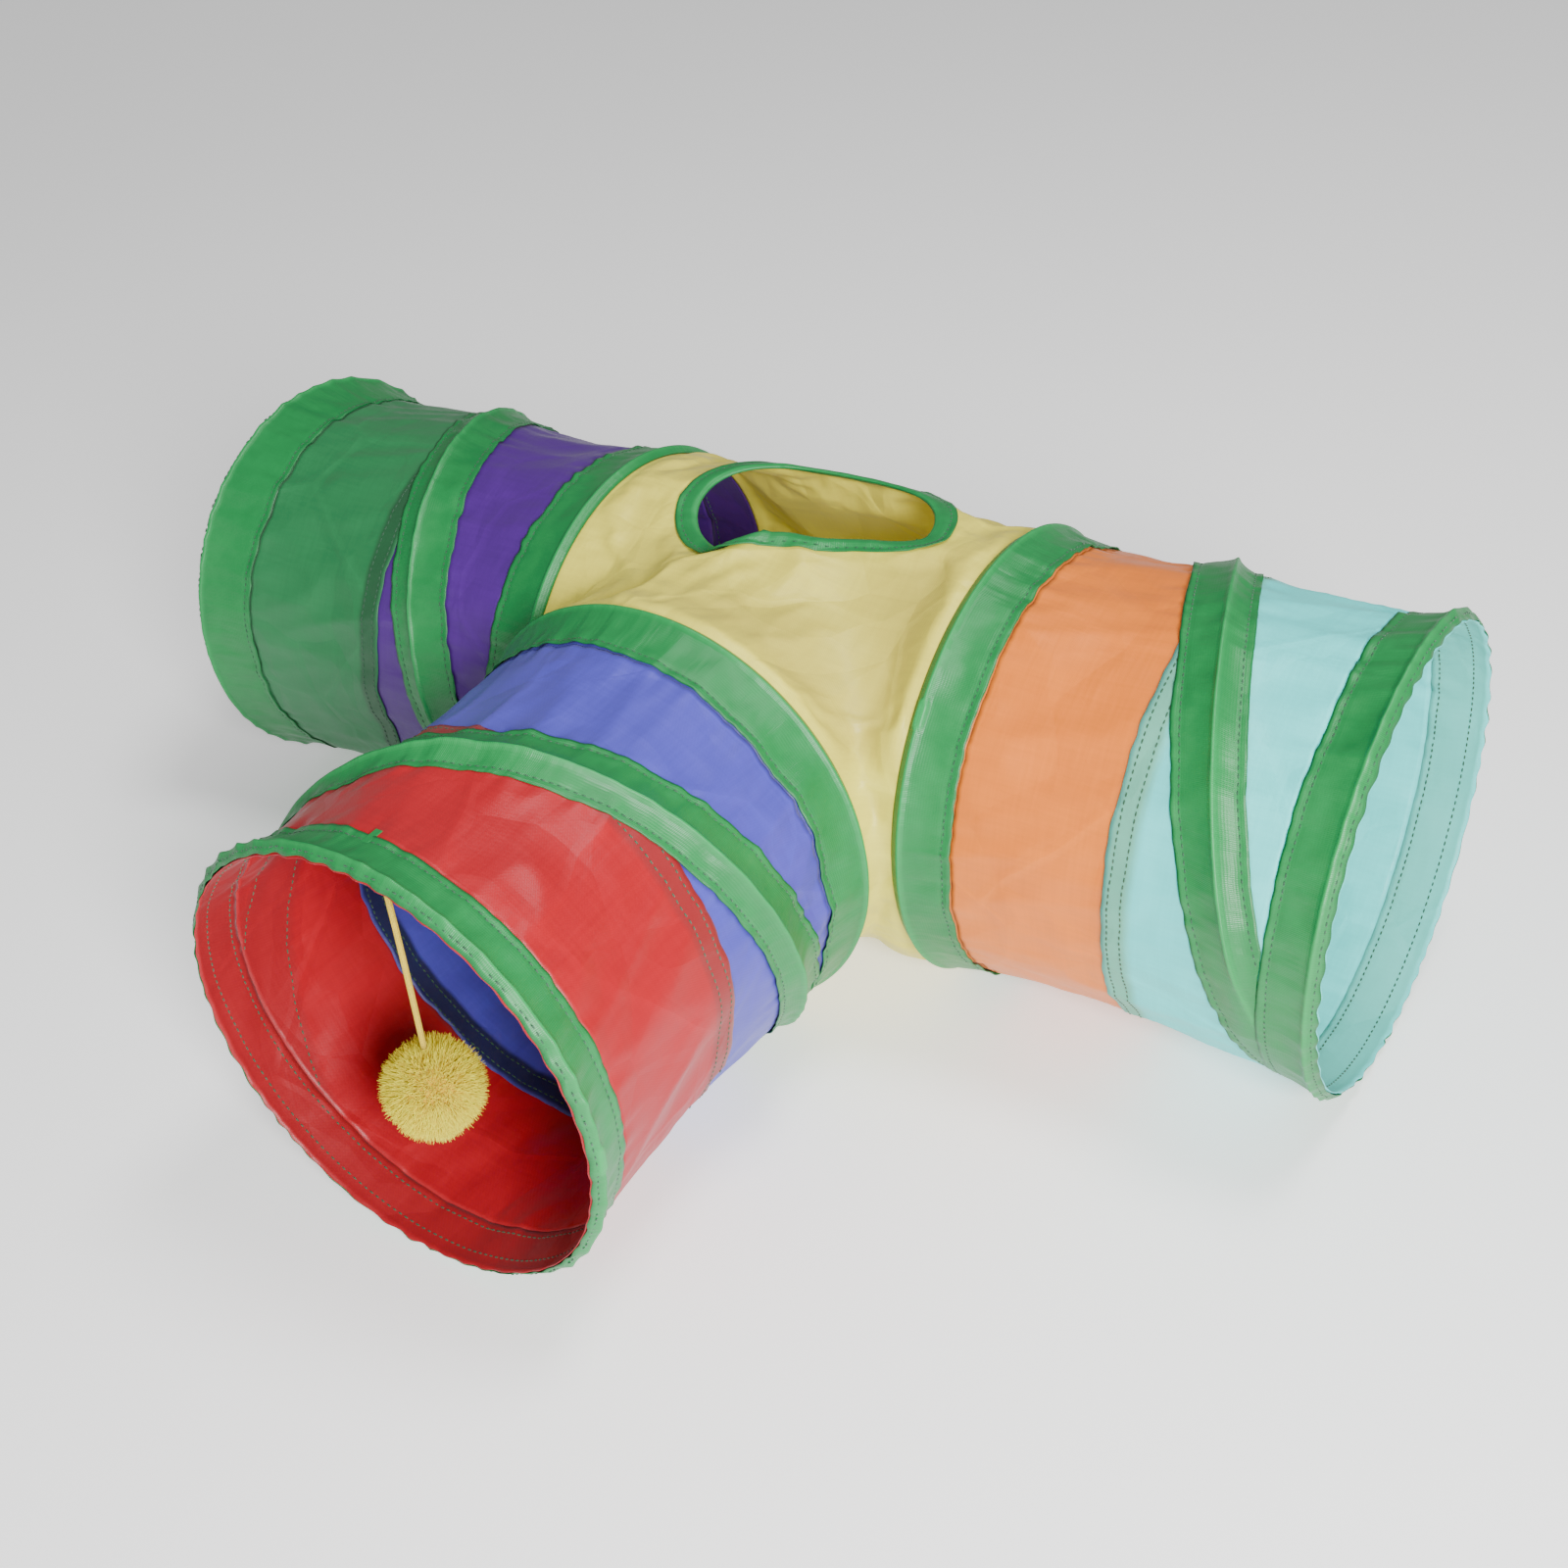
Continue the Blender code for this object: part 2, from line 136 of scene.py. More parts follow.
class TunnelCoilSettings(bpy.types.PropertyGroup):
    """Where each coil crosses the top of its arm, and how far it climbs in one turn."""
    left_top: length_setting("Left top", "Where the left coil crosses the top", 0.124)
    left_turn: length_setting("Left turn", "Length of one turn of the left coil", 0.209)
    right_top: length_setting("Right top", "Where the right coil crosses the top", 0.119)
    right_turn: length_setting("Right turn", "Length of one turn of the right coil", 0.241)
    front_top: length_setting("Front top", "Where the front coil crosses the top", 0.131)
    front_turn: length_setting("Front turn", "Length of one turn of the front coil", 0.248)
    left_width: length_setting("Left width", "Width of the left coil tape along the arm", 0.042)
    right_width: length_setting("Right width", "Width of the right coil tape along the arm", 0.037)
    front_width: length_setting("Front width", "Width of the front coil tape along the arm", 0.038)
    left_crest: length_setting("Left crest", "Height of the left coil tape over its wire", 0.0026)
    right_crest: length_setting("Right crest", "Height of the right coil tape over its wire", 0.0045)
    front_crest: length_setting("Front crest", "Height of the front coil tape over its wire", 0.0036)


class TunnelStitchSettings(bpy.types.PropertyGroup):
    """Sizes of the sewing thread."""
    pitch: length_setting("Pitch", "Distance from one stitch to the next", 0.0040)
    length: length_setting("Length", "Length of one stitch", 0.0029)
    width: length_setting("Width", "Width of the thread", 0.00100)


class TunnelHubSettings(bpy.types.PropertyGroup):
    """The hub sleeve, its slack and the peephole."""
    voxel: length_setting("Grain", "Mesh size of the hub cloth before it is draped", 0.0046)
    slack: FloatProperty(name="Slack", description="How much larger the cloth is than the hub",
                         default=0.035, min=0, max=0.2)
    frames: IntProperty(name="Frames", description="Length of the drape", default=24, min=1)
    tuck: length_setting("Tuck", "How far the cloth runs under a ring tape", 0.0018)
    hole_lift: length_setting("Lift", "How far the peephole's back edge stands up", 0.008)
    binding: length_setting("Binding", "Width of the tape round the peephole", 0.0125)


class TunnelPompomSettings(bpy.types.PropertyGroup):
    """The yarn ball."""
    fibres: IntProperty(name="Fibres", description="Number of yarn ends", default=15000, min=100)
    fibre_width: length_setting("Fibre width", "Width of a yarn end at its root", 0.00052)
    core: FloatProperty(name="Core", description="Radius of the packed core, as a share of the ball",
                        default=0.80, min=0.3, max=0.95)


class TunnelColourSettings(bpy.types.PropertyGroup):
    """Colours of the cloths, tapes and threads."""
    tape: colour_setting("Green tape", (0.008, 0.242, 0.057))
    yellow: colour_setting("Yellow cloth", (0.900, 0.800, 0.110))
    purple: colour_setting("Purple cloth", (0.083, 0.015, 0.234))
    leaf: colour_setting("Leaf green cloth", (0.024, 0.232, 0.076))
    orange: colour_setting("Orange cloth", (0.900, 0.235, 0.020))
    aqua: colour_setting("Aqua cloth", (0.160, 0.900, 0.880))
    blue: colour_setting("Blue cloth", (0.082, 0.076, 0.510))
    red: colour_setting("Red cloth", (0.450, 0.008, 0.016))
    thread: colour_setting("Green thread", (0.006, 0.060, 0.022))
    pompom: colour_setting("Pompom yarn", (0.900, 0.880, 0.032))
    cord: colour_setting("Cord", (0.720, 0.520, 0.035))
    steel: colour_setting("Spring steel", (0.550, 0.560, 0.570))
    floor: colour_setting("Floor", (0.900, 0.900, 0.900))


SETTINGS = {
    "tunnel_cloth": TunnelClothSettings,
    "tunnel_coil": TunnelCoilSettings,
    "tunnel_stitch": TunnelStitchSettings,
    "tunnel_hub": TunnelHubSettings,
    "tunnel_pompom": TunnelPompomSettings,
    "tunnel_colour": TunnelColourSettings,
}


# Shader writing ---------------------------------------------------------------------------------

class Value:
    """One shader socket that can be used in a Python expression."""

    def __init__(self, wiring, socket):
        self.wiring = wiring
        self.socket = socket

    def maths(self, operation, *others):
        node = self.wiring.node("ShaderNodeMath", {"operation": operation}, dict(enumerate((self, *others))))
        return Value(self.wiring, node.outputs[0])

    def __add__(self, other):
        return self.maths("ADD", other)

    def __sub__(self, other):
        return self.maths("SUBTRACT", other)

    def __mul__(self, other):
        return self.maths("MULTIPLY", other)

    def __rsub__(self, other):
        return (self * -1.0) + other

    __radd__ = __add__
    __rmul__ = __mul__

    def sine(self):
        return self.maths("SINE")

    def clamped(self):
        node = self.wiring.node("ShaderNodeClamp", {}, {"Value": self})
        return Value(self.wiring, node.outputs[0])


class Wiring:
    """Writes the nodes of one material."""

    def __init__(self, name):
        self.material = bpy.data.materials.new(name)
        self.material.use_nodes = True
        self.tree = self.material.node_tree
        self.shader = self.tree.nodes["Principled BSDF"]
        self.output = self.tree.nodes["Material Output"]

    def node(self, kind, settings, inputs):
        made = self.tree.nodes.new(kind)
        for key, value in settings.items():
            setattr(made, key, value)
        for key, value in inputs.items():
            self.feed(made.inputs[key], value)
        return made

    def feed(self, socket, value):
        if isinstance(value, Value):
            self.tree.links.new(value.socket, socket)
        elif isinstance(value, bpy.types.NodeSocket):
            self.tree.links.new(value, socket)
        else:
            socket.default_value = value

    def place(self):
        return self.node("ShaderNodeTexCoord", {}, {}).outputs["Object"]

    def uv(self):
        node = self.node("ShaderNodeUVMap", {"uv_map": "sewn"}, {})
        parts = self.node("ShaderNodeSeparateXYZ", {}, {0: node.outputs[0]})
        return Value(self, parts.outputs[0]), Value(self, parts.outputs[1])

    def attribute(self, name):
        node = self.node("ShaderNodeAttribute", {"attribute_name": name}, {})
        return Value(self, node.outputs["Fac"])

    def noise(self, scale, detail=2.0, roughness=0.5, stretch=(1, 1, 1)):
        where = self.node("ShaderNodeMapping", {}, {"Vector": self.place(), "Scale": stretch})
        made = self.node("ShaderNodeTexNoise", {}, {
            "Vector": where.outputs[0], "Scale": scale, "Detail": detail, "Roughness": roughness})
        return Value(self, made.outputs["Fac"])

    def streaks(self, across, along, fine_across, fine_along):
        """Uneven threads: a noise stretched along one direction of the weave."""
        where = self.node("ShaderNodeCombineXYZ", {}, {0: across * fine_across, 1: along * fine_along})
        made = self.node("ShaderNodeTexNoise", {"noise_dimensions": "2D"}, {
            "Vector": where.outputs[0], "Scale": 1.0, "Detail": 2.0})
        return Value(self, made.outputs["Fac"])

    def cracks(self, scale):
        made = self.node("ShaderNodeTexVoronoi", {"feature": "DISTANCE_TO_EDGE"}, {
            "Vector": self.bent_place(), "Scale": scale})
        return Value(self, made.outputs["Distance"])

    def bent_place(self):
        """Object coordinates pushed about by a noise, so that crease lines aren't straight."""
        push = self.node("ShaderNodeTexNoise", {}, {"Vector": self.place(), "Scale": 14.0})
        scaled = self.node("ShaderNodeVectorMath", {"operation": "SCALE"}, {
            0: push.outputs["Color"], "Scale": 0.020})
        moved = self.node("ShaderNodeVectorMath", {"operation": "ADD"}, {
            0: self.place(), 1: scaled.outputs[0]})
        return moved.outputs[0]

    def mixed(self, share, first, second):
        """A colour between two colours."""
        made = self.node("ShaderNodeMix", {"data_type": "RGBA"}, {0: share, 6: first, 7: second})
        return made.outputs[2]

    def bump(self, height, distance, strength):
        made = self.node("ShaderNodeBump", {}, {
            "Height": height, "Distance": distance, "Strength": strength})
        return made.outputs[0]

    def finish(self, colour, roughness, normal=None, fixed=None):
        self.feed(self.shader.inputs["Base Color"], colour)
        self.feed(self.shader.inputs["Roughness"], roughness)
        if normal is not None:
            self.feed(self.shader.inputs["Normal"], normal)
        for key, value in (fixed or {}).items():
            self.shader.inputs[key].default_value = value
        return self.material

    def let_light_through(self, colour, share):
        """Mixes in the glow of thin cloth that is lit from its other side."""
        glow = self.node("ShaderNodeBsdfTranslucent", {}, {"Color": colour})
        mix = self.node("ShaderNodeMixShader", {}, {
            0: share, 1: self.shader.outputs[0], 2: glow.outputs[0]})
        self.tree.links.new(mix.outputs[0], self.output.inputs["Surface"])


def solid(colour):
    return (*colour, 1.0)


def shade(colour, share):
    return tuple(min(1.0, part * share) for part in colour) + (1.0,)


def cloth_material(name, colour, through, under, crumple):
    """Thin satin taffeta: a fine weave, pressed creases with a painted highlight along their lines, painted
    shade in the under colour where its points are marked, and a glow from behind.
    """
    wiring = Wiring(name)
    across, along = wiring.uv()
    thread = FULL_TURN / 0.0011
    weave = (across * thread).sine() * (along * thread).sine()
    patches = wiring.noise(9.0, 3.0)
    slub = wiring.streaks(across, along, 420.0, 34.0) * 0.5 + wiring.streaks(across, along, 30.0, 520.0) * 0.5
    planes = wiring.cracks(19.0)
    crease_line = ((wiring.cracks(8.0) * -34.0) + 1.0).clamped()
    # This mark is painted shade: where the cloth lies double, has a tape behind it or lies in a fold hollow.
    tone = wiring.attribute("tone")
    # The crease lines also lighten the colour: a painted highlight.
    light = (patches * 0.7 + slub * 0.7 + crease_line * 0.15 - 0.25).clamped()
    plain = wiring.mixed(light, shade(colour, 0.78), shade(colour, 1.16))
    # The under colour is the painted shade colour, mixed in by the mark read above.
    tinted = wiring.mixed(tone, plain, solid(under))
    height = weave * 0.03 + slub * 0.14 + crease_line * 0.40 + planes * crumple
    height = height + wiring.noise(38.0, 3.0) * 0.15
    normal = wiring.bump(height, 0.0012, 0.60)
    roughness = patches * 0.12 + slub * 0.14 + 0.29
    wiring.finish(tinted, roughness, normal, {
        "Sheen Weight": 0.08, "Sheen Roughness": 0.4, "Specular IOR Level": 0.42})
    wiring.let_light_through(shade(colour, 1.05), through)
    return wiring.material


def tape_material(name, colour):
    """Satin binding tape: fine ribs across, painted shade on its folded edges, a painted highlight on the
    ridge.
    """
    wiring = Wiring(name)
    across, along = wiring.uv()
    ribs = (across * (FULL_TURN / 0.0009)).sine()
    warp = (along * (FULL_TURN / 0.0013)).sine()
    patches = wiring.noise(16.0, 3.0)
    fine = wiring.noise(150.0, 3.0, 0.6)
    # This mark is a painted highlight along a ridge or fold, with a lighter patch where a crimp sleeve shows
    # through.
    tone = wiring.attribute("tone")
    # This mark is painted shade along the tape's folded edges.
    edge = wiring.attribute("edge")
    light = (patches * 0.6 + fine * 0.3 + tone * 0.75 - 0.10).clamped()
    plain = wiring.mixed(light, shade(colour, 0.62), shade(colour, 1.35))
    tinted = wiring.mixed(edge, plain, shade(colour, 0.62))
    puckers = wiring.streaks(across, along, 170.0, 24.0)
    height = ribs * 0.05 + warp * 0.03 + fine * 0.12 + puckers * 0.9 + wiring.noise(55.0, 3.0) * 0.3
    normal = wiring.bump(height, 0.0011, 0.55)
    roughness = patches * 0.12 + fine * 0.10 + 0.28
    wiring.finish(tinted, roughness, normal, {
        "Sheen Weight": 0.02, "Sheen Roughness": 0.35, "Specular IOR Level": 0.46})
    wiring.let_light_through(shade(colour, 1.0), 0.12)
    return wiring.material


def thread_material(name, colour):
    wiring = Wiring(name)
    twist = wiring.noise(900.0, 2.0)
    tinted = wiring.mixed(wiring.noise(60.0, 2.0), shade(colour, 0.7), shade(colour, 1.5))
    return wiring.finish(tinted, twist * 0.2 + 0.45, wiring.bump(twist, 0.0002, 0.6), {"Sheen Weight": 0.2})


def steel_material(name, colour):
    wiring = Wiring(name)
    draw_lines = wiring.noise(420.0, 2.0, 0.5, stretch=(1.0, 1.0, 0.1))
    tinted = wiring.mixed(wiring.noise(70.0, 3.0), shade(colour, 0.80), shade(colour, 1.05))
    return wiring.finish(tinted, draw_lines * 0.2 + 0.22, wiring.bump(draw_lines, 0.0001, 0.4),
                         {"Metallic": 1.0})


def yarn_material(name, colour):
    """Cut yarn: each end has its own tone, with painted shade, darker and redder, towards the root."""
    wiring = Wiring(name)
    tone = wiring.attribute("tone")
    # Painted shade on the packed core and towards the root of each end.
    root = wiring.attribute("edge")
    soft = wiring.noise(90.0, 2.0)
    light = (tone * 0.7 + soft * 0.5 - 0.1).clamped()
    plain = wiring.mixed(light, (colour[0] * 0.92, colour[1] * 0.70, colour[2] * 0.55, 1.0),
                         (min(1.0, colour[0] * 1.08), min(1.0, colour[1] * 1.18), colour[2] * 2.0, 1.0))
    tinted = wiring.mixed(root, plain, (colour[0] * 0.80, colour[1] * 0.48, colour[2] * 0.4, 1.0))
    wiring.finish(tinted, soft * 0.1 + 0.75, None, {
        "Sheen Weight": 0.12, "Sheen Roughness": 0.5, "Specular IOR Level": 0.2})
    wiring.let_light_through(shade(colour, 0.95), 0.25)
    return wiring.material


def cord_material(name, colour):
    """Round braid: two sets of strands that cross."""
    wiring = Wiring(name)
    around, along = wiring.uv()
    strands = FULL_TURN / 0.0021
    braid = ((around * strands) + (along * strands)).sine() * ((around * strands) - (along * strands)).sine()
    worn = wiring.noise(160.0, 2.0)
    tinted = wiring.mixed((braid * 0.3 + worn * 0.7).clamped(), shade(colour, 0.75), shade(colour, 1.2))
    return wiring.finish(tinted, worn * 0.2 + 0.55, wiring.bump(braid, 0.0003, 0.8),
                         {"Sheen Weight": 0.05, "Specular IOR Level": 0.25})


def floor_material(name, colour):
    wiring = Wiring(name)
    cloudy = wiring.noise(1.2, 2.0)
    tinted = wiring.mixed(cloudy, shade(colour, 0.985), shade(colour, 1.0))
    return wiring.finish(tinted, cloudy * 0.05 + 0.6, None, {
        "Emission Color": solid(colour), "Emission Strength": 0.50})


# How much light each cloth lets through from its other side.
LIGHT_THROUGH = {"yellow": 0.27, "purple": 0.20, "leaf": 0.25, "orange": 0.25, "aqua": 0.42,
                 "blue": 0.20, "red": 0.22}

# Painted shade colours: where a cloth lies double or has a tape behind it, and on the hub in the hollows of
# its folds; the aqua's is tinted green by the tape behind it.
PAINTED_SHADE_COLOURS = {"yellow": (0.40, 0.30, 0.09), "purple": (0.045, 0.012, 0.100), "leaf": (0.020, 0.120, 0.045),
          "orange": (0.45, 0.130, 0.045), "aqua": (0.200, 0.560, 0.400), "blue": (0.016, 0.018, 0.075),
          "red": (0.300, 0.018, 0.022)}

made_materials = {}


def material(name):
    """The named finish, made once."""
    if name not in made_materials:
        made_materials[name] = make_material(name)
    return made_materials[name]


def make_material(name):
    colours = bpy.context.scene.tunnel_colour
    kind, _, rest = name.partition("_")
    if rest == "cloth":
        crumple = 8.0 if kind == "yellow" else 4.5
        return cloth_material(name, getattr(colours, kind), LIGHT_THROUGH[kind], PAINTED_SHADE_COLOURS[kind], crumple)
    makers = {
        "green_tape": (tape_material, colours.tape),
        "green_thread": (thread_material, colours.thread),
        "spring_steel": (steel_material, colours.steel),
        "pompom_yarn": (yarn_material, colours.pompom),
        "yellow_cord": (cord_material, colours.cord),
        "pale_floor": (floor_material, colours.floor),
    }
    maker, colour = makers[name]
    return maker(name, colour)


# Places -----------------------------------------------------------------------------------------

def centre_of(node):
    low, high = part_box(node)
    return (low + high) / 2


def half_height(node):
    low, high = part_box(node)
    return (high.z - low.z) / 2


def ramp(low, high, value):
    """0 below low, 1 above high, and a soft rise between them."""
    share = min(1.0, max(0.0, (value - low) / (high - low)))
    return share * share * (3 - 2 * share)


def hump(middle, width, value):
    """1 at the middle, falling softly to 0 over the width."""
    return math.exp(-((value - middle) / width) ** 2)


def ruffle(point, size, seed=0.0):
    """A soft random value from about -0.8 to 0.8 that is the same each run."""
    return noise.noise(Vector(point) / size + Vector((seed, 3.1 * seed, 7.7)))


def pointing(x_way, y_way, z_way, place):
    """The matrix with these three axes and its origin at a place."""
    return Matrix(((*x_way, 0), (*y_way, 0), (*z_way, 0), (*place, 1))).transposed()


class Arm:
    """One arm of the tunnel, measured from its CAD nodes, with the shape of its cloth."""

    CRIMPS = ("hub", "mouth")

    def __init__(self, name):
        self.name = name
        self.seed = 11.0 * ARM_NAMES.index(name) + 5.0
        first, last = f"{name}_hub_tape", f"{name}_mouth_tape"
        offset = centre_of(last) - centre_of(first)
        axis = max(range(3), key=lambda number: abs(offset[number]))
        sign = 1 if offset[axis] > 0 else -1
        self.along = Vector([sign if number == axis else 0 for number in range(3)])
        near = 0 if sign > 0 else 1
        origin = centre_of(first)
        origin[axis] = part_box(first)[near][axis]
        self.matrix = pointing(UP, self.along.cross(UP), self.along, origin)
        self.inverse = self.matrix.inverted()

        def reach(node):
            ends = [abs((self.inverse @ corner).z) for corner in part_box(node)]
            return min(ends), max(ends)

        self.length = reach(last)[1]
        self.hub_tape = reach(first)[1]
        self.mouth_edge = reach(last)[0]
        self.seam = reach(f"{name}_outer_panel")[0]
        self.lap_end = reach(f"{name}_inner_panel")[1]
        self.ring = half_height(first)
        self.cloth = half_height(f"{name}_outer_panel")
        self.crimps = [self.crimp_angle(f"{name}_{end}_crimp") for end in self.CRIMPS]
        cloth, coil = bpy.context.scene.tunnel_cloth, bpy.context.scene.tunnel_coil
        self.wire_setback, self.margin, self.layer = cloth.wire_setback, cloth.margin, cloth.layer
        self.sag, self.fold, self.crease = cloth.sag, cloth.fold, cloth.crease
        self.crest = getattr(coil, f"{name}_crest")
        self.known_supports, self.known_feet = {}, {}
        self.coil_top = getattr(coil, f"{name}_top")
        self.coil_turn = getattr(coil, f"{name}_turn")
        self.coil_width = getattr(coil, f"{name}_width")
        self.coil_ridge = self.coil_width * COIL_CREST
        self.free_middle = (self.hub_tape + self.mouth_edge) / 2
        travel = next(j for j in frame["joints"] if j["name"] == f"{name}_collapse")["range_m"]
        self.keep = 1 - max(abs(limit) for limit in travel) / (self.mouth_edge - self.hub_tape)

    def crimp_angle(self, node):
        place = self.inverse @ centre_of(node)
        return math.atan2(place.y, place.x)

    def coil_at(self, angle):
        """Where the coil is, at an angle that may run past a full turn."""
        return self.coil_top + self.coil_turn * angle / FULL_TURN

    def point(self, radius, along, angle):
        return Vector((radius * math.cos(angle), radius * math.sin(angle), along))

    def supports(self, angle):
        """The wires that hold the cloth up at this angle, from the hub to the mouth."""
        found = self.known_supports.get(angle)
        if not found:
            first, last = self.wire_setback, self.length - self.wire_setback
            crest = self.coil_at(angle) + self.coil_ridge
            coils = [crest + turn * self.coil_turn for turn in (-2, -1, 0, 1, 2)]
            found = [first, *(place for place in coils if first < place < last), last]
            self.known_supports[angle] = found
        return found

    def cloth_radius(self, along, angle):
        """Outside of the outer cloth: wires hold it out, and it sags and folds between them."""
        places = self.supports(angle)
        flare = ramp(places[-1], self.length, along) * (self.ring - 0.0052 - self.cloth)
        along = min(max(along, places[0]), places[-1])
        for low, high in zip(places, places[1:]):
            if along <= high:
                break
        span = max(high - low, 1e-6)
        share = (along - low) / span
        hollow = 4 * share * (1 - share)
        depth = self.sag * span * hollow * (1 + 0.25 * math.cos(angle))
        spot = self.point(self.ring, along, angle)
        loose = min(1.0, span / 0.07) * hollow ** 0.6
        drag = self.point(self.ring, along * 0.30, angle + 2.6 * along)
        folds = ruffle(drag, 0.040, self.seed) * 1.3 + ruffle(spot, 0.060, self.seed + 4) * 0.7
        crumple = 0.25 - abs(ruffle(drag, 0.027, self.seed + 2))
        crumple += 0.4 * (0.25 - abs(ruffle(spot, 0.036, self.seed + 3)))
        edge = min(abs(along - self.hub_tape), abs(along - self.mouth_edge))
        half = self.coil_width / 2
        for place in places[1:-1]:
            edge = min(edge, abs(abs(along - place + self.coil_ridge) - half))
        pucker = ruffle((spot.x, spot.y, spot.z * 0.30), 0.0070, self.seed + 6) * math.exp(-edge / 0.010)
        return (self.cloth + flare - depth + self.fold * folds * loose
                + self.crease * (1.6 * crumple + 0.8 * pucker) * loose)

    def outer_limit(self, angle):
        """How far out a tape may bulge here, without going into the floor."""
        down = -math.cos(angle)
        free = self.ring + 0.0015
        return min(free, (self.ring - 0.0002) / down) if down > 0.2 else free

    def foot(self, along, angle):
        """The cloth's radius on a stitch line, kept because a whole column of points asks for it."""
        key = (along, angle)
        if key not in self.known_feet:
            self.known_feet[key] = self.cloth_radius(along, angle)
        return self.known_feet[key]

    def crimp_cover(self, end, angle):
        """1 over the crimp sleeve that joins this end's ring wire."""
        away = math.remainder(angle - self.crimps[self.CRIMPS.index(end)], FULL_TURN) * self.ring
        return 1 - ramp(0.0060, 0.0085, abs(away))

    def ring_tape_radius(self, end, along, angle):
        """Outside of the tape over a ring wire: a tent from its stitch line to a ridge, then a drop."""
        distance = along if end == "hub" else self.length - along
        width = self.hub_tape if end == "hub" else self.length - self.mouth_edge
        stitch = width - self.margin
        wire = self.wire_setback
        base = self.cloth_radius(along, angle) + self.layer
        spot = self.point(self.ring, along, angle)
        wrinkle = ruffle((spot.x, spot.y, spot.z * 0.45), 0.0085, self.seed + 8) * 0.00075
        wrinkle += ruffle(spot, 0.022, self.seed + 9) * 0.00070
        wrinkle += 0.0007 * (0.2 - abs(ruffle(spot, 0.030, self.seed + 10)))
        top = self.ring - 0.0014 + ruffle(spot, 0.03, self.seed + 12) * 0.0003
        if end == "mouth":
            turns = angle * self.ring / 0.018 + 0.9 * ruffle(self.point(0.05, 0, angle), 0.02, self.seed)
            top += 0.0016 * (1 - abs(math.sin(math.pi * turns))) * (0.6 + ruffle(spot, 0.04, self.seed + 7))
        ridge = 0.0011 * hump(wire, 0.0014, distance)
        flutter = ruffle((spot.x, spot.y, 0.0), 0.0080, self.seed + 13)
        if distance > stitch:
            past = (distance - stitch) / (width - stitch)
            radius = base + wrinkle * 0.3 + 0.0006 * past * (flutter + 0.35)
        elif distance > wire:
            share = (distance - wire) / (stitch - wire)
            foot_along = stitch if end == "hub" else self.length - stitch
            foot = self.foot(foot_along, angle) + self.layer
            slope = top + (foot - top) * share - 0.0008 * math.sin(math.pi * share)
            radius = max(base, slope + wrinkle * 4 * share * (1 - share) + ridge)
        else:
            share = distance / wire
            low = self.cloth + 0.0006
            if end == "mouth":
                low = self.ring - 0.0044 + 0.0012 * flutter
            radius = low + (top - low) * math.sin(share * math.pi / 2) + ridge
        radius -= 0.00035 * hump(stitch, 0.0011, distance)
        patch = self.crimp_cover(end, angle) * (1 - ramp(0.0020, 0.0036, abs(distance - wire)))
        radius = radius + (max(radius, self.ring - 0.0002) - radius) * patch
        return min(radius, self.outer_limit(angle))

    def edge_wave(self, angle, phase):
        """How far a tape's cut edge wanders along the arm."""
        spot = self.point(self.ring, phase, angle)
        return 0.0003 * ruffle(spot, 0.0060, self.seed + 16) + 0.0008 * ruffle(spot, 0.034, self.seed + 17)

    def scallop(self, along, angle):
        """The uneven waves of a mouth's rim, where its edge is gathered over the ring wire."""
        sizes = bpy.context.scene.tunnel_cloth
        turns = angle * self.ring / sizes.scallop_width
        spot = self.point(0.05, 0, angle)
        swing = math.sin(FULL_TURN * turns + 7.0 * ruffle(spot, 0.03, self.seed))
        swing *= 0.70 + 0.9 * ruffle(spot, 0.012, self.seed + 5)
        return sizes.scallop * (0.30 + 0.70 * swing) * ramp(self.length - 0.0045, self.length, along)

    def coil_tape_radius(self, along, angle, across):
        """Outside of the tape over the coil; across runs from its hub side to its mouth side."""
        half = self.coil_width / 2
        middle = self.coil_ridge
        room = half - self.margin
        run = (room - middle) if across > middle else (room + middle)
        tent = max(0.0, 1 - abs(across - middle) / run)
        spot = self.point(self.ring, along, angle)
        wrinkle = ruffle((spot.x, spot.y, spot.z * 0.6), 0.0090, self.seed + 14) * 0.00070
        wrinkle += ruffle(spot, 0.024, self.seed + 15) * 0.00080
        wrinkle += 0.0007 * (0.2 - abs(ruffle(spot, 0.030, self.seed + 18)))
        free = ramp(0.0, 0.014, along - self.hub_tape) * ramp(0.0, 0.014, self.mouth_edge - along)
        height = self.crest * tent - 0.0007 * math.sin(math.pi * tent) + 0.0011 * hump(middle, 0.0013, across)
        height += wrinkle * min(1.0, 3 * tent)
        if abs(across) > room:
            flutter = ruffle((spot.x, spot.y, 0.0), 0.0080, self.seed + 19)
            height += 0.0006 * (flutter + 0.35) * (abs(across) - room) / self.margin
        foot = abs(abs(across) - room)
        height -= 0.00030 * hump(0.0, 0.0011, foot)
        cover = self.layer * (0.45 + 0.55 * free)
        return min(self.cloth_radius(along, angle) + cover + height * free, self.outer_limit(angle))


# Making and finishing pieces --------------------------------------------------------------------

def new_tube(rows, columns):
    """A unit tube about +Z with a ring of points at each row."""
    shape = bmesh.new()
    line = [shape.verts.new((1, 0, row)) for row in rows]
    links = [shape.edges.new(pair) for pair in zip(line, line[1:])]
    bmesh.ops.spin(shape, geom=line + links, cent=(0, 0, 0), axis=(0, 0, 1),
                   angle=FULL_TURN, steps=columns, use_merge=True)
    return shape


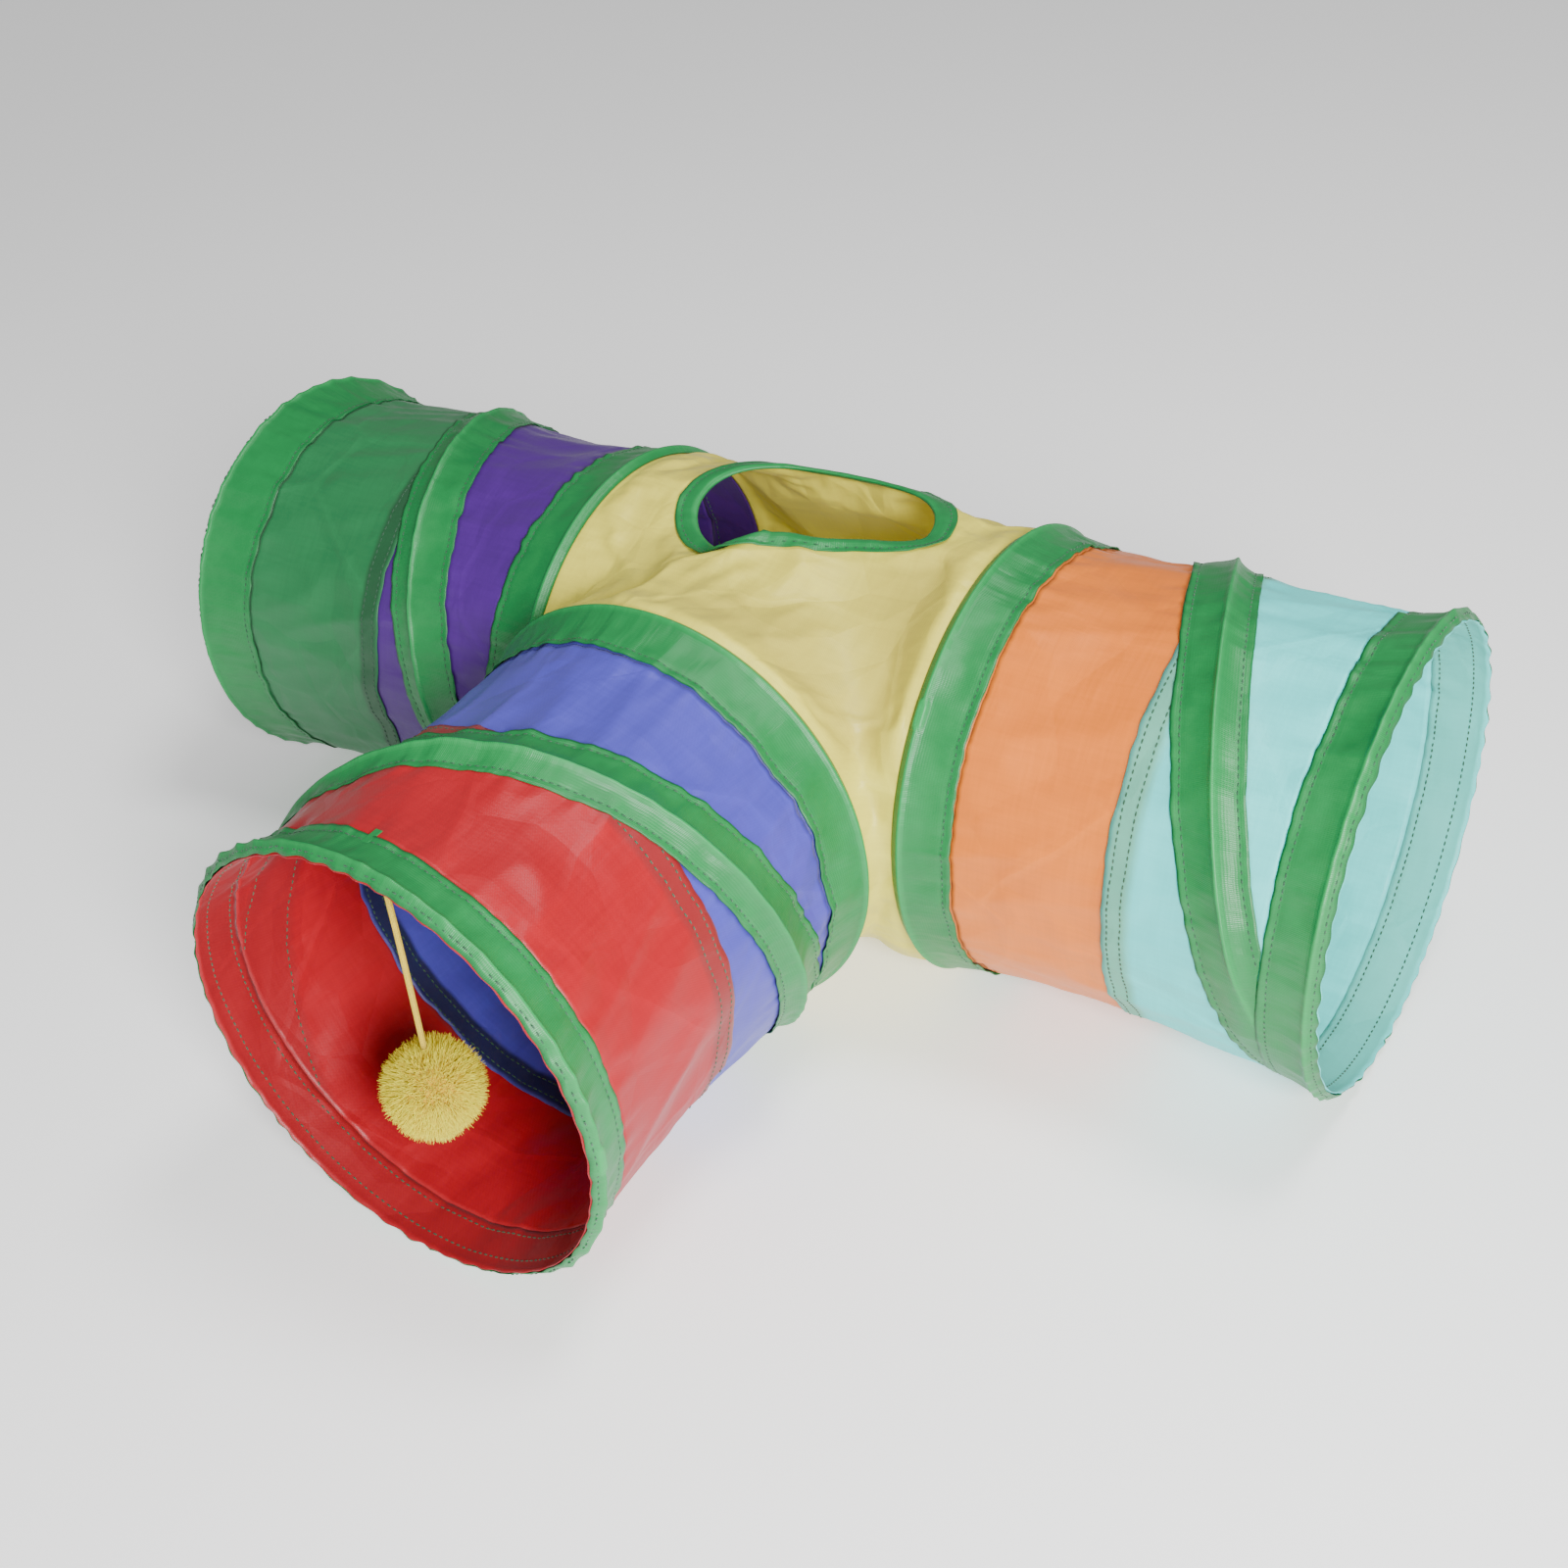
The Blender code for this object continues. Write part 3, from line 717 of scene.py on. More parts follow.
def rows_between(low, high, spacing, *extra):
    """Evenly spaced rows, with extra ones where a fold or an edge is sharp."""
    count = max(2, math.ceil((high - low) / spacing))
    rows = {round(low + (high - low) * number / count, 6) for number in range(count + 1)}
    for place in extra:
        if low < place < high:
            rows = {row for row in rows if abs(row - place) > spacing * 0.3 or row in (low, high)}
            rows.add(place)
    return sorted(rows)


def write_uv(shape, place):
    """Puts place(corner, middle of its face) on each corner: distance round and distance along."""
    layer = shape.loops.layers.uv.new("sewn")
    for face in shape.faces:
        middle = face.calc_center_median()
        for loop in face.loops:
            loop[layer].uv = place(loop.vert.co, middle)


def tube_uv(radius, top=None):
    """A place for write_uv on a tube about a vertical line, with no jump inside a face."""
    top = top or Vector()

    def place(corner, middle):
        away, centre = corner - top, middle - top
        centre = math.atan2(centre.y, centre.x)
        angle = centre + math.remainder(math.atan2(away.y, away.x) - centre, FULL_TURN)
        return angle * radius, away.z
    return place


def lay_tube(shape, place, **marks):
    """Moves each point of a unit tube to place(along, angle), and writes each mark's value on it."""
    layers = {name: shape.verts.layers.float.new(name) for name in marks}
    for vert in shape.verts:
        along, angle = vert.co.z, math.atan2(vert.co.y, vert.co.x)
        for name, value in marks.items():
            vert[layers[name]] = value(along, angle)
        vert.co = place(along, angle)


def cut_off(shape, point, normal, cap=False):
    """Removes what lies on the normal's side of a plane."""
    parts = shape.verts[:] + shape.edges[:] + shape.faces[:]
    cut = bmesh.ops.bisect_plane(shape, geom=parts, dist=WELD, plane_co=point, plane_no=normal,
                                 clear_outer=True)
    if cap:
        rim = [part for part in cut["geom_cut"] if isinstance(part, bmesh.types.BMEdge)]
        bmesh.ops.contextual_create(shape, geom=rim)


def face_out(shape, centre=None):
    """Turns all faces away from the local Z axis, or from a centre."""
    bmesh.ops.recalc_face_normals(shape, faces=shape.faces)
    shape.normal_update()
    outward = 0.0
    for face in shape.faces:
        middle = face.calc_center_median()
        away = (middle - centre) if centre else Vector((middle.x, middle.y, 0))
        outward += face.normal.dot(away.normalized()) * face.calc_area()
    if outward < 0:
        bmesh.ops.reverse_faces(shape, faces=shape.faces)


def new_piece(name, shape, finish, matrix=None):
    """An object at the origin with its place in its mesh."""
    mesh = bpy.data.meshes.new(name)
    if matrix is not None:
        bmesh.ops.transform(shape, matrix=matrix, verts=shape.verts)
    shape.to_mesh(mesh)
    shape.free()
    piece = bpy.data.objects.new(name, mesh)
    bpy.context.scene.collection.objects.link(piece)
    mesh.materials.append(material(finish))
    mesh.shade_smooth()
    return piece


def settle(piece):
    """Applies the piece's modifiers."""
    graph = bpy.context.evaluated_depsgraph_get()
    graph.update()
    mesh = bpy.data.meshes.new_from_object(piece.evaluated_get(graph), depsgraph=graph)
    mesh.name = piece.name
    piece.modifiers.clear()
    piece.data = mesh


def thicken(piece, thickness):
    """Gives a surface a wall on its inner side."""
    wall = piece.modifiers.new("wall", "SOLIDIFY")
    wall.thickness = thickness
    wall.offset = -1
    wall.use_even_offset = False
    settle(piece)


def check(piece):
    """Stops on a piece whose mesh came out empty or broken."""
    points = np.empty(len(piece.data.vertices) * 3)
    piece.data.vertices.foreach_get("co", points)
    if not len(points) or not np.isfinite(points).all():
        raise RuntimeError(f"{piece.name} has no sound mesh")


def attach(piece, body, replaced=(), squash=None):
    check(piece)
    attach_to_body(piece, body)
    if replaced:
        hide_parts(*replaced)
    if squash:
        joint, axis, anchor, keep = squash
        tuple(axis)
        tuple(anchor)
        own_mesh(piece)
    return piece


def stitch_place(surface, along, angle, step_along, step_angle):
    """A matrix on a surface whose X runs from one stitch to the next and whose Z points out."""
    here = surface(along, angle)
    tangent = (surface(along + step_along, angle + step_angle) - here).normalized()
    outward = Vector((here.x, here.y, 0)).normalized()
    side = outward.cross(tangent).normalized()
    return pointing(tangent, side, tangent.cross(side), here)


def sew(name, places, matrix=None, seed=0.0):
    """One thread piece with a small rounded stitch at each place."""
    sizes = bpy.context.scene.tunnel_stitch
    length, width = sizes.length, sizes.width

    def add(shape, number):
        turn = 0.10 * noise.noise((number * 1.7, seed, 0.5))
        size = 1 + 0.18 * noise.noise((number * 2.3, seed, 4.5))
        grain = Matrix.Diagonal((length / 2 * size, width / 2, width * 0.42, 1))
        bmesh.ops.create_icosphere(shape, subdivisions=1, radius=1,
                                   matrix=places[number] @ Matrix.Rotation(turn, 4, "Z") @ grain)

    return new_piece(name, gather(len(places), add), "green_thread", matrix)


def gather(count, add, shape=None):
    """Makes many small shapes a bunch at a time, because one large bmesh is slow to add to."""
    shape = shape or bmesh.new()
    mesh = bpy.data.meshes.new("bunch")
    for first in range(0, count, 100):
        bunch = bmesh.new()
        for name in shape.verts.layers.float.keys():
            bunch.verts.layers.float.new(name)
        for number in range(first, min(first + 100, count)):
            add(bunch, number)
        bunch.to_mesh(mesh)
        bunch.free()
        shape.from_mesh(mesh)
    bpy.data.meshes.remove(mesh)
    return shape


def ring_row(surface, along, radius):
    """Stitch places all round a tube at one distance along it."""
    count = round(FULL_TURN * radius / bpy.context.scene.tunnel_stitch.pitch)
    return [stitch_place(surface, along, FULL_TURN * number / count, 0.0, 0.01)
            for number in range(count)]


# Arms -------------------------------------------------------------------------------------------

def arm_squash(arm, end):
    """How a soft piece of an arm folds up when its mouth slides in."""
    places = {"hub": arm.hub_tape, "coil": arm.free_middle, "mouth": arm.mouth_edge}
    anchor = arm.matrix @ Vector((0, 0, places[end]))
    return (f"{arm.name}_collapse", arm.along, anchor, arm.keep)


def make_panel_part(arm, name, low, high, layer, finish, body, squash, replaced, wave, painted_shade):
    """A tube of cloth between two distances; wave(along, angle) shifts a free edge."""
    sizes = bpy.context.scene.tunnel_cloth

    def place(along, angle):
        shifted = along + wave(along, angle)
        radius = arm.cloth_radius(along, angle) - layer
        return arm.point(radius, shifted, angle)

    shape = new_tube(rows_between(low, high, sizes.row), sizes.around)
    write_uv(shape, tube_uv(arm.ring))
    # Writes painted shade on each point.
    lay_tube(shape, place, tone=painted_shade)
    face_out(shape)
    piece = new_piece(name, shape, finish, arm.matrix)
    thicken(piece, sizes.cloth)
    attach(piece, body, replaced, squash)
    high - low


def no_wave(along, angle):
    return 0.0


def make_arm_cloth(arm):
    """Inner and outer panel of one arm, each with the part that its ring tape holds."""
    sizes = bpy.context.scene.tunnel_cloth
    cloths = {"left": ("purple_cloth", "leaf_cloth"), "right": ("orange_cloth", "aqua_cloth"),
              "front": ("blue_cloth", "red_cloth")}
    inner, outer = cloths[arm.name]
    name = arm.name
    hub, mouth = "hub", f"{name}_mouth"

    def edge_wave(edge, reach, strength):
        def wave(along, angle):
            spot = arm.point(arm.ring, 0.0, angle)
            pull = ruffle(spot, 0.020, arm.seed + edge * 40) + 0.6 * ruffle(spot, 0.009, arm.seed + 21)
            return strength * pull * max(0.0, 1 - abs(along - edge) / reach)
        return wave

    def lap_shade(along, angle):
        return ramp(arm.seam - 0.001, arm.seam + 0.001, along) * (
            1 - ramp(arm.lap_end - 0.001, arm.lap_end + 0.001, along))

    def coil_tape_shade(along, angle):
        """1 under the coil's tape, whose painted shade shows through the cloth from inside."""
        half = arm.coil_width / 2
        near = min(abs(along - arm.coil_at(angle) - turn * arm.coil_turn) for turn in (-1, 0, 1))
        return 1 - ramp(half - 0.001, half + 0.001, near)

    def cloth_shade(along, angle):
        return max(lap_shade(along, angle), 0.45 * coil_tape_shade(along, angle))

    under = sizes.layer * UNDER_LAYERS
    make_panel_part(arm, f"{name}_inner_cloth", arm.hub_tape, arm.lap_end, under, inner, hub,
                    arm_squash(arm, "hub"), (f"{name}_inner_panel",),
                    edge_wave(arm.lap_end, 0.02, 0.0026), cloth_shade)
    # The collar under the hub tape gets painted shade.
    make_panel_part(arm, f"{name}_inner_collar", 0.0008, arm.hub_tape, under, inner, hub,
                    None, (f"{name}_inner_panel",), no_wave, lambda along, angle: 0.45)
    make_panel_part(arm, f"{name}_outer_cloth", arm.seam, arm.mouth_edge, 0.0, outer, mouth,
                    arm_squash(arm, "mouth"), (f"{name}_outer_panel",),
                    edge_wave(arm.seam, 0.02, 0.0016), cloth_shade)
    # The hem under the mouth tape gets painted shade, fading out at the rim.
    make_panel_part(arm, f"{name}_outer_hem", arm.mouth_edge, arm.length, 0.0, outer, mouth,
                    None, (f"{name}_outer_panel",), arm.scallop, lambda along, angle: 0.45 * (
                        1 - ramp(arm.length - 0.0015, arm.length, along)))

    def on_outer(along, angle):
        return arm.point(arm.cloth_radius(along, angle), along, angle)

    def on_inside(along, angle):
        return arm.point(arm.cloth_radius(along, angle) - under - sizes.cloth, along, angle)

    lines = arm.seam + 0.0035, arm.lap_end - 0.0035
    rows = [place for line in lines for side in (on_outer, on_inside)
            for place in ring_row(side, line, arm.ring)]
    thread = sew(f"{name}_lap_stitches", rows, arm.matrix, arm.seed)
    attach(thread, mouth, (), arm_squash(arm, "mouth"))


def make_ring_tape(arm, end):
    """The tape that holds a ring wire, with its two rows of stitches."""
    sizes = bpy.context.scene.tunnel_cloth
    name = f"{arm.name}_{end}_tape"
    low, high = (0.0, arm.hub_tape) if end == "hub" else (arm.mouth_edge, arm.length)
    wire = sizes.wire_setback if end == "hub" else arm.length - sizes.wire_setback
    stitch = (high - sizes.margin) if end == "hub" else (low + sizes.margin)
    close = [wire + step * WIRE_RADIUS for step in range(-4, 5)]
    rows = rows_between(low, high, TAPE_ROW, *close, stitch)

    def surface(along, angle):
        return arm.point(arm.ring_tape_radius(end, along, angle), along, angle)

    def wavy(along, angle):
        """The surface with its inner edge wandering, and the rim's edge at a mouth too."""
        inner = ramp(stitch, high, along) if end == "hub" else ramp(stitch, low, along)
        shift = arm.edge_wave(angle, 0.03) * inner
        if end == "mouth":
            shift += arm.scallop(along, angle)
        spot = surface(along, angle)
        spot.z += shift
        return spot

    # Lighter over the crimp sleeve, which shows through the tape, and a painted highlight along the ridge
    # over the wire.
    def sleeve_and_ridge_highlight(along, angle):
        patch = arm.crimp_cover(end, angle) * (1 - ramp(0.0022, 0.0032, abs(along - wire)))
        return min(1.0, 0.75 * patch + 0.6 * hump(wire, 0.0014, along))

    # Painted shade along the tape's folded edges.
    def folded_edge_shade(along, angle):
        return 1 - ramp(0.0004, 0.0016, min(along - low, high - along))

    shape = new_tube(rows, 360)
    write_uv(shape, tube_uv(arm.ring))
    lay_tube(shape, wavy, tone=sleeve_and_ridge_highlight, edge=folded_edge_shade)
    face_out(shape)
    piece = new_piece(f"{name}_cover", shape, "green_tape", arm.matrix)
    thicken(piece, sizes.tape)
    body = "hub" if end == "hub" else f"{arm.name}_mouth"
    attach(piece, body, (name,))
    layer = sizes.cloth if end == "mouth" else sizes.cloth + sizes.layer * UNDER_LAYERS

    def inside(along, angle):
        return arm.point(arm.cloth_radius(along, angle) - layer, along, angle)

    places = ring_row(surface, stitch, arm.ring) + ring_row(inside, stitch, arm.ring)
    if end == "mouth":
        places += ring_row(surface, arm.length - 0.0020, arm.ring)
        places += ring_row(inside, arm.length - 0.0080, arm.ring)
    thread = attach(sew(f"{name}_stitches", places, arm.matrix, arm.seed + 1), body)
    high - low


def coil_reach(arm, past):
    """First and last angle of the coil, with its tape's middle this far past the ring tapes."""
    first = (arm.hub_tape - past - arm.coil_top) / arm.coil_turn * FULL_TURN
    last = (arm.mouth_edge + past - arm.coil_top) / arm.coil_turn * FULL_TURN
    return first, last


def coil_angle(arm, co):
    """The unwound angle of a point on the coil's strip."""
    angle = math.atan2(co.y, co.x)
    turns = (co.z - arm.coil_at(angle)) / arm.coil_turn
    return angle + FULL_TURN * round(turns)


def make_coil(arm):
    """The tape along the coil and its stitches."""
    sizes = bpy.context.scene.tunnel_cloth
    half = arm.coil_width / 2
    first, last = coil_reach(arm, half)
    steps = math.ceil((last - first) / math.radians(1.0))
    middle = arm.coil_ridge
    near = [middle + step * WIRE_RADIUS for step in range(-3, 4)]
    rows = rows_between(-half, half, TAPE_ROW, *near, half - sizes.margin, sizes.margin - half)
    shape = bmesh.new()
    spot = Matrix.Rotation(first, 4, "Z") @ Matrix.Translation((1, 0, arm.coil_at(first)))
    line = [shape.verts.new(spot @ Vector((0, 0, row))) for row in rows]
    links = [shape.edges.new(pair) for pair in zip(line, line[1:])]
    rise = arm.coil_turn * (last - first) / FULL_TURN / steps
    bmesh.ops.spin(shape, geom=line + links, cent=(0, 0, 0), axis=(0, 0, 1),
                   dvec=(0, 0, rise), angle=last - first, steps=steps)
    cut_off(shape, (0, 0, arm.hub_tape), (0, 0, -1))
    cut_off(shape, (0, 0, arm.mouth_edge), (0, 0, 1))
    bmesh.ops.remove_doubles(shape, verts=shape.verts, dist=1e-5)

    def strip_uv(corner, _):
        angle = coil_angle(arm, corner)
        return angle * arm.ring, corner.z - arm.coil_at(angle)

    write_uv(shape, strip_uv)
    tone = shape.verts.layers.float.new("tone")
    edge = shape.verts.layers.float.new("edge")
    for vert in shape.verts:
        angle, along = coil_angle(arm, vert.co), vert.co.z
        across = along - arm.coil_at(angle)
        # A painted highlight along the ridge over the wire, and painted shade along the folded edges.
        vert[tone] = 0.6 * hump(middle, 0.0014, across)
        vert[edge] = 1 - ramp(0.0004, 0.0016, half - abs(across))
        vert.co = arm.point(arm.coil_tape_radius(along, angle, across), along, angle)
        free = ramp(0.0, 0.006, along - arm.hub_tape) * ramp(0.0, 0.006, arm.mouth_edge - along)
        wander = ramp(half - sizes.margin, half, abs(across)) * free
        vert.co.z += arm.edge_wave(angle, 0.6 if across > 0 else 0.9) * wander
    face_out(shape)
    piece = new_piece(f"{arm.name}_coil_cover", shape, "green_tape", arm.matrix)
    thicken(piece, sizes.tape)
    body, squash = f"{arm.name}_coil", arm_squash(arm, "coil")
    attach(piece, body, (f"{arm.name}_coil_tape",), squash)

    def stitch_row(across, outside):
        def surface(along, angle):
            if outside:
                return arm.point(arm.coil_tape_radius(along, angle, across), along, angle)
            layer = sizes.cloth + (0.0 if along > arm.lap_end else sizes.layer * UNDER_LAYERS)
            return arm.point(arm.cloth_radius(along, angle) - layer, along, angle)
        slope = arm.coil_turn / FULL_TURN
        pitch = bpy.context.scene.tunnel_stitch.pitch / arm.ring
        places, angle = [], first
        while angle < last:
            along = arm.coil_at(angle) + across
            if arm.hub_tape + 0.0012 < along < arm.mouth_edge - 0.0012:
                places.append(stitch_place(surface, along, angle, 0.01 * slope, 0.01))
            angle += pitch
        return places

    lines = half - sizes.margin, sizes.margin - half
    places = [place for line in lines for side in (True, False) for place in stitch_row(line, side)]
    thread = sew(f"{arm.name}_coil_stitches", places, arm.matrix, arm.seed + 3)
    attach(thread, body, (), squash)
    length = math.hypot(FULL_TURN * arm.ring, arm.coil_turn) * (last - first) / FULL_TURN
    length - arm.coil_width / (arm.coil_turn / FULL_TURN / arm.ring) * 0.9


def make_coil_spring(arm):
    """Steel wire in the channel under the coil tape."""
    first, last = coil_reach(arm, -0.010)
    steps = math.ceil((last - first) / math.radians(4))
    rise = arm.coil_turn / FULL_TURN
    shape = bmesh.new()
    bmesh.ops.create_circle(shape, cap_ends=True, segments=10, radius=WIRE_RADIUS,
                            matrix=Matrix.Rotation(math.pi / 2, 4, "X"))
    bmesh.ops.translate(shape, verts=shape.verts, vec=(1, 0, 0))
    bmesh.ops.spin(
        shape, geom=shape.faces[:], cent=(0, 0, 0), axis=(0, 0, 1),
        dvec=(0, 0, arm.coil_turn * (last - first) / FULL_TURN / steps), angle=last - first, steps=steps)
    for vert in shape.verts:
        turned = math.atan2(vert.co.y, vert.co.x)
        angle = turned + FULL_TURN * round((vert.co.z - rise * turned) / arm.coil_turn)
        out = math.hypot(vert.co.x, vert.co.y) - 1
        lift = vert.co.z - rise * angle
        real = angle + first
        along = arm.coil_at(real) + arm.coil_ridge
        radius = arm.cloth_radius(along, real) + arm.layer + WIRE_RADIUS * 0.6
        vert.co = arm.point(radius + out, along + lift, real)
    bmesh.ops.remove_doubles(shape, verts=shape.verts, dist=WELD)
    bmesh.ops.recalc_face_normals(shape, faces=shape.faces)
    piece = new_piece(f"{arm.name}_coil_spring", shape, "spring_steel", arm.matrix)
    attach(piece, f"{arm.name}_coil", (f"{arm.name}_coil_wire",), arm_squash(arm, "coil"))


# Hub --------------------------------------------------------------------------------------------

class Hub:
    """The crossing of the three tubes, measured from the CAD nodes."""

    def __init__(self, arms):
        self.arms = arms
        left, front = arms["left"], arms["front"]
        self.radius = left.cloth
        self.centre = Vector((front.matrix.translation.x, left.matrix.translation.y, left.ring))
        self.ends = {name: (arm.matrix.translation - self.centre).dot(arm.along)
                     for name, arm in arms.items()}
        low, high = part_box("peephole_binding")
        folded = 0.012
        self.hole = (low + high) / 2
        self.half_length = (high.x - low.x) / 2 - folded
        self.half_width = (high.y - low.y) / 2 - folded
        self.lap = math.radians(-106)

    def pinch(self, x):
        """How much narrower the peephole's front half is here, where the cloth pulls it in."""
        share = (x - self.hole.x) / self.half_length
        return 1.10 - 0.48 * ramp(-0.50, 0.10, share) - 0.24 * ramp(-0.10, 0.65, share)

    def oval(self, x, y):
        """1 on the edge of the peephole, less inside it and more outside."""
        away = y - self.hole.y
        width = self.half_width * (self.pinch(x) if away < 0 else 1.0)
        return math.hypot((x - self.hole.x) / self.half_length, away / width)

    def rim(self, angle, out):
        """A point on the peephole's edge, or this far outside it."""
        x = self.hole.x + (self.half_length + out) * math.cos(angle)
        width = self.half_width * (self.pinch(x) if math.sin(angle) < 0 else 1.0)
        return x, self.hole.y + (width + out) * math.sin(angle)

    def height(self, x, y):
        """Top of the hub cloth, with the peephole's back edge pushed up."""
        away_x, away_y = x - self.centre.x, y - self.centre.y
        main = math.sqrt(max(0.0, self.radius ** 2 - away_y ** 2))
        branch = math.sqrt(max(0.0, self.radius ** 2 - away_x ** 2)) * ramp(0.004, -0.004, away_y) \
            if away_y < 0.004 else 0.0
        soft = 0.010
        top = max(main, branch) + soft * 0.25 * max(0.0, 1 - abs(main - branch) / soft) ** 2
        return self.centre.z + top + self.lift(x, y)

    def lift(self, x, y):
        """How far the springs push the peephole's back edge up."""
        oval = self.oval(x, y)
        share = ramp(-0.2, 1.0, (y - self.hole.y) / self.half_width)
        fade = 1.0 if oval < 1 else hump(1.0, 0.34, oval)
        ends = ramp(0.0, 0.03, self.ends["right"] - (x - self.centre.x))
        ends *= ramp(0.0, 0.03, self.ends["left"] + (x - self.centre.x))
        back = bpy.context.scene.tunnel_hub.hole_lift * share
        return (back + self.kink(x, y)) * fade * ends

    def kink(self, x, y):
        """The step in the front edge where the binding's two ends meet, low to the left of it."""
        turn = math.atan2((y - self.hole.y) / self.half_width, (x - self.hole.x) / self.half_length)
        away = math.remainder(turn - self.lap, FULL_TURN)
        if away < 0:
            return -0.0080 * hump(0.0, 0.95, away) * ramp(0.0, -0.14, away)
        return 0.0030 * hump(0.0, 0.55, away) * ramp(0.0, 0.10, away)


def cylinder(radius, low, high, matrix):
    shape = bmesh.new()
    place = matrix @ Matrix.Translation((0, 0, (low + high) / 2))
    bmesh.ops.create_cone(shape, cap_ends=True, segments=128, radius1=radius, radius2=radius,
                          depth=high - low, matrix=place)
    return shape


def hub_tee(hub, past):
    """A closed tee of two tubes, remeshed into one even skin."""
    x_way = Matrix.Translation(hub.centre) @ Matrix.Rotation(math.pi / 2, 4, "Y")
    y_way = Matrix.Translation(hub.centre) @ Matrix.Rotation(math.pi / 2, 4, "X")
    shape = cylinder(hub.radius, -hub.ends["left"] - past, hub.ends["right"] + past, x_way)
    branch = cylinder(hub.radius, 0.0, hub.ends["front"] + past, y_way)
    limit = hub.centre.x - hub.ends["left"] + 0.0012
    cut_off(branch, (limit, 0, 0), (-1, 0, 0), cap=True)
    joined = bpy.data.meshes.new("branch")
    branch.to_mesh(joined)
    branch.free()
    shape.from_mesh(joined)
    bpy.data.meshes.remove(joined)
    piece = new_piece("hub_cloth", shape, "yellow_cloth")
    grain = piece.modifiers.new("grain", "REMESH")
    grain.mode = "VOXEL"
    grain.voxel_size = bpy.context.scene.tunnel_hub.voxel
    settle(piece)
    return piece


def hub_skin(hub, co):
    """Distance out of the tee's rounded surface, at a point."""
    away = co - hub.centre
    main = math.hypot(away.y, away.z) - hub.radius
    front = math.hypot(away.x, away.z) - hub.radius
    if away.y > 0:
        return main
    soft = 0.012
    blend = max(0.0, 1 - abs(main - front) / soft)
    return min(main, front) - soft * 0.25 * blend ** 2


def ridge(turn):
    """A wave with soft hollows and sharp crests."""
    return 1 - 2 * abs(math.sin(turn / 2)) ** 0.75


def hub_folds(hub, co):
    """Height of the folds that the front ring's two corners pull in the cloth, and the pull alone."""
    away = co - hub.centre
    corner = Vector((hub.ends["right"], -hub.ends["front"] * 0.98, away.z * 0.4))
    reach = away - corner
    fan = math.atan2(away.z - 0.02, reach.length + 0.03)
    pull = ridge(fan * 15.0 + 1.2 * ruffle(away, 0.08, 3.0)) * hump(0.0, 0.14, reach.length)
    left_corner = Vector((-hub.ends["left"], -hub.ends["front"] * 0.9, away.z * 0.4))
    left_fan = math.atan2(away.z + 0.03, (away - left_corner).length + 0.03)
    pull += 0.7 * ridge(left_fan * 13.0 + 1.5) * hump(0.0, 0.08, (away - left_corner).length)
    loose = ruffle(co, 0.060, 4.0) + 0.5 * ruffle((co.x, co.y, co.z * 1.4), 0.026, 5.0)
    return 0.0100 * pull + 0.0012 * loose, pull


def edge_distance(hub, co):
    """How far a point of the hub is from the nearest ring or the peephole's edge."""
    away = co - hub.centre
    nearest = min(hub.ends["right"] - away.x, hub.ends["left"] + away.x, hub.ends["front"] + away.y)
    if co.z > hub.centre.z:
        nearest = min(nearest, (hub.oval(co.x, co.y) - 1.0) * hub.half_width - 0.006)
    return nearest


def drape(piece, held, cap):
    """Lets slack cloth fall into folds between the places where it is held, and applies the result."""
    sizes = bpy.context.scene.tunnel_hub
    start = [vert.co.copy() for vert in piece.data.vertices]
    group = piece.vertex_groups.new(name="held")
    for vert in piece.data.vertices:
        group.add([vert.index], held(vert.co), "REPLACE")
    modifier = piece.modifiers.new("drape", "CLOTH")
    cloth = modifier.settings
    cloth.vertex_group_mass = "held"
    cloth.quality = 6
    cloth.mass = 0.02
    cloth.tension_stiffness = cloth.compression_stiffness = 12
    cloth.shear_stiffness = 5
    cloth.bending_stiffness = 0.08
    cloth.shrink_min = -sizes.slack
    cloth.effector_weights.gravity = 0.35
    modifier.collision_settings.use_collision = False
    modifier.point_cache.frame_start = 1
    modifier.point_cache.frame_end = sizes.frames
    scene = bpy.context.scene
    for number in range(1, sizes.frames + 1):
        scene.frame_set(number)
    settle(piece)
    scene.frame_set(1)
    for vert, before in zip(piece.data.vertices, start):
        moved = vert.co - before
        if moved.length > cap:
            vert.co = before + moved.normalized() * cap


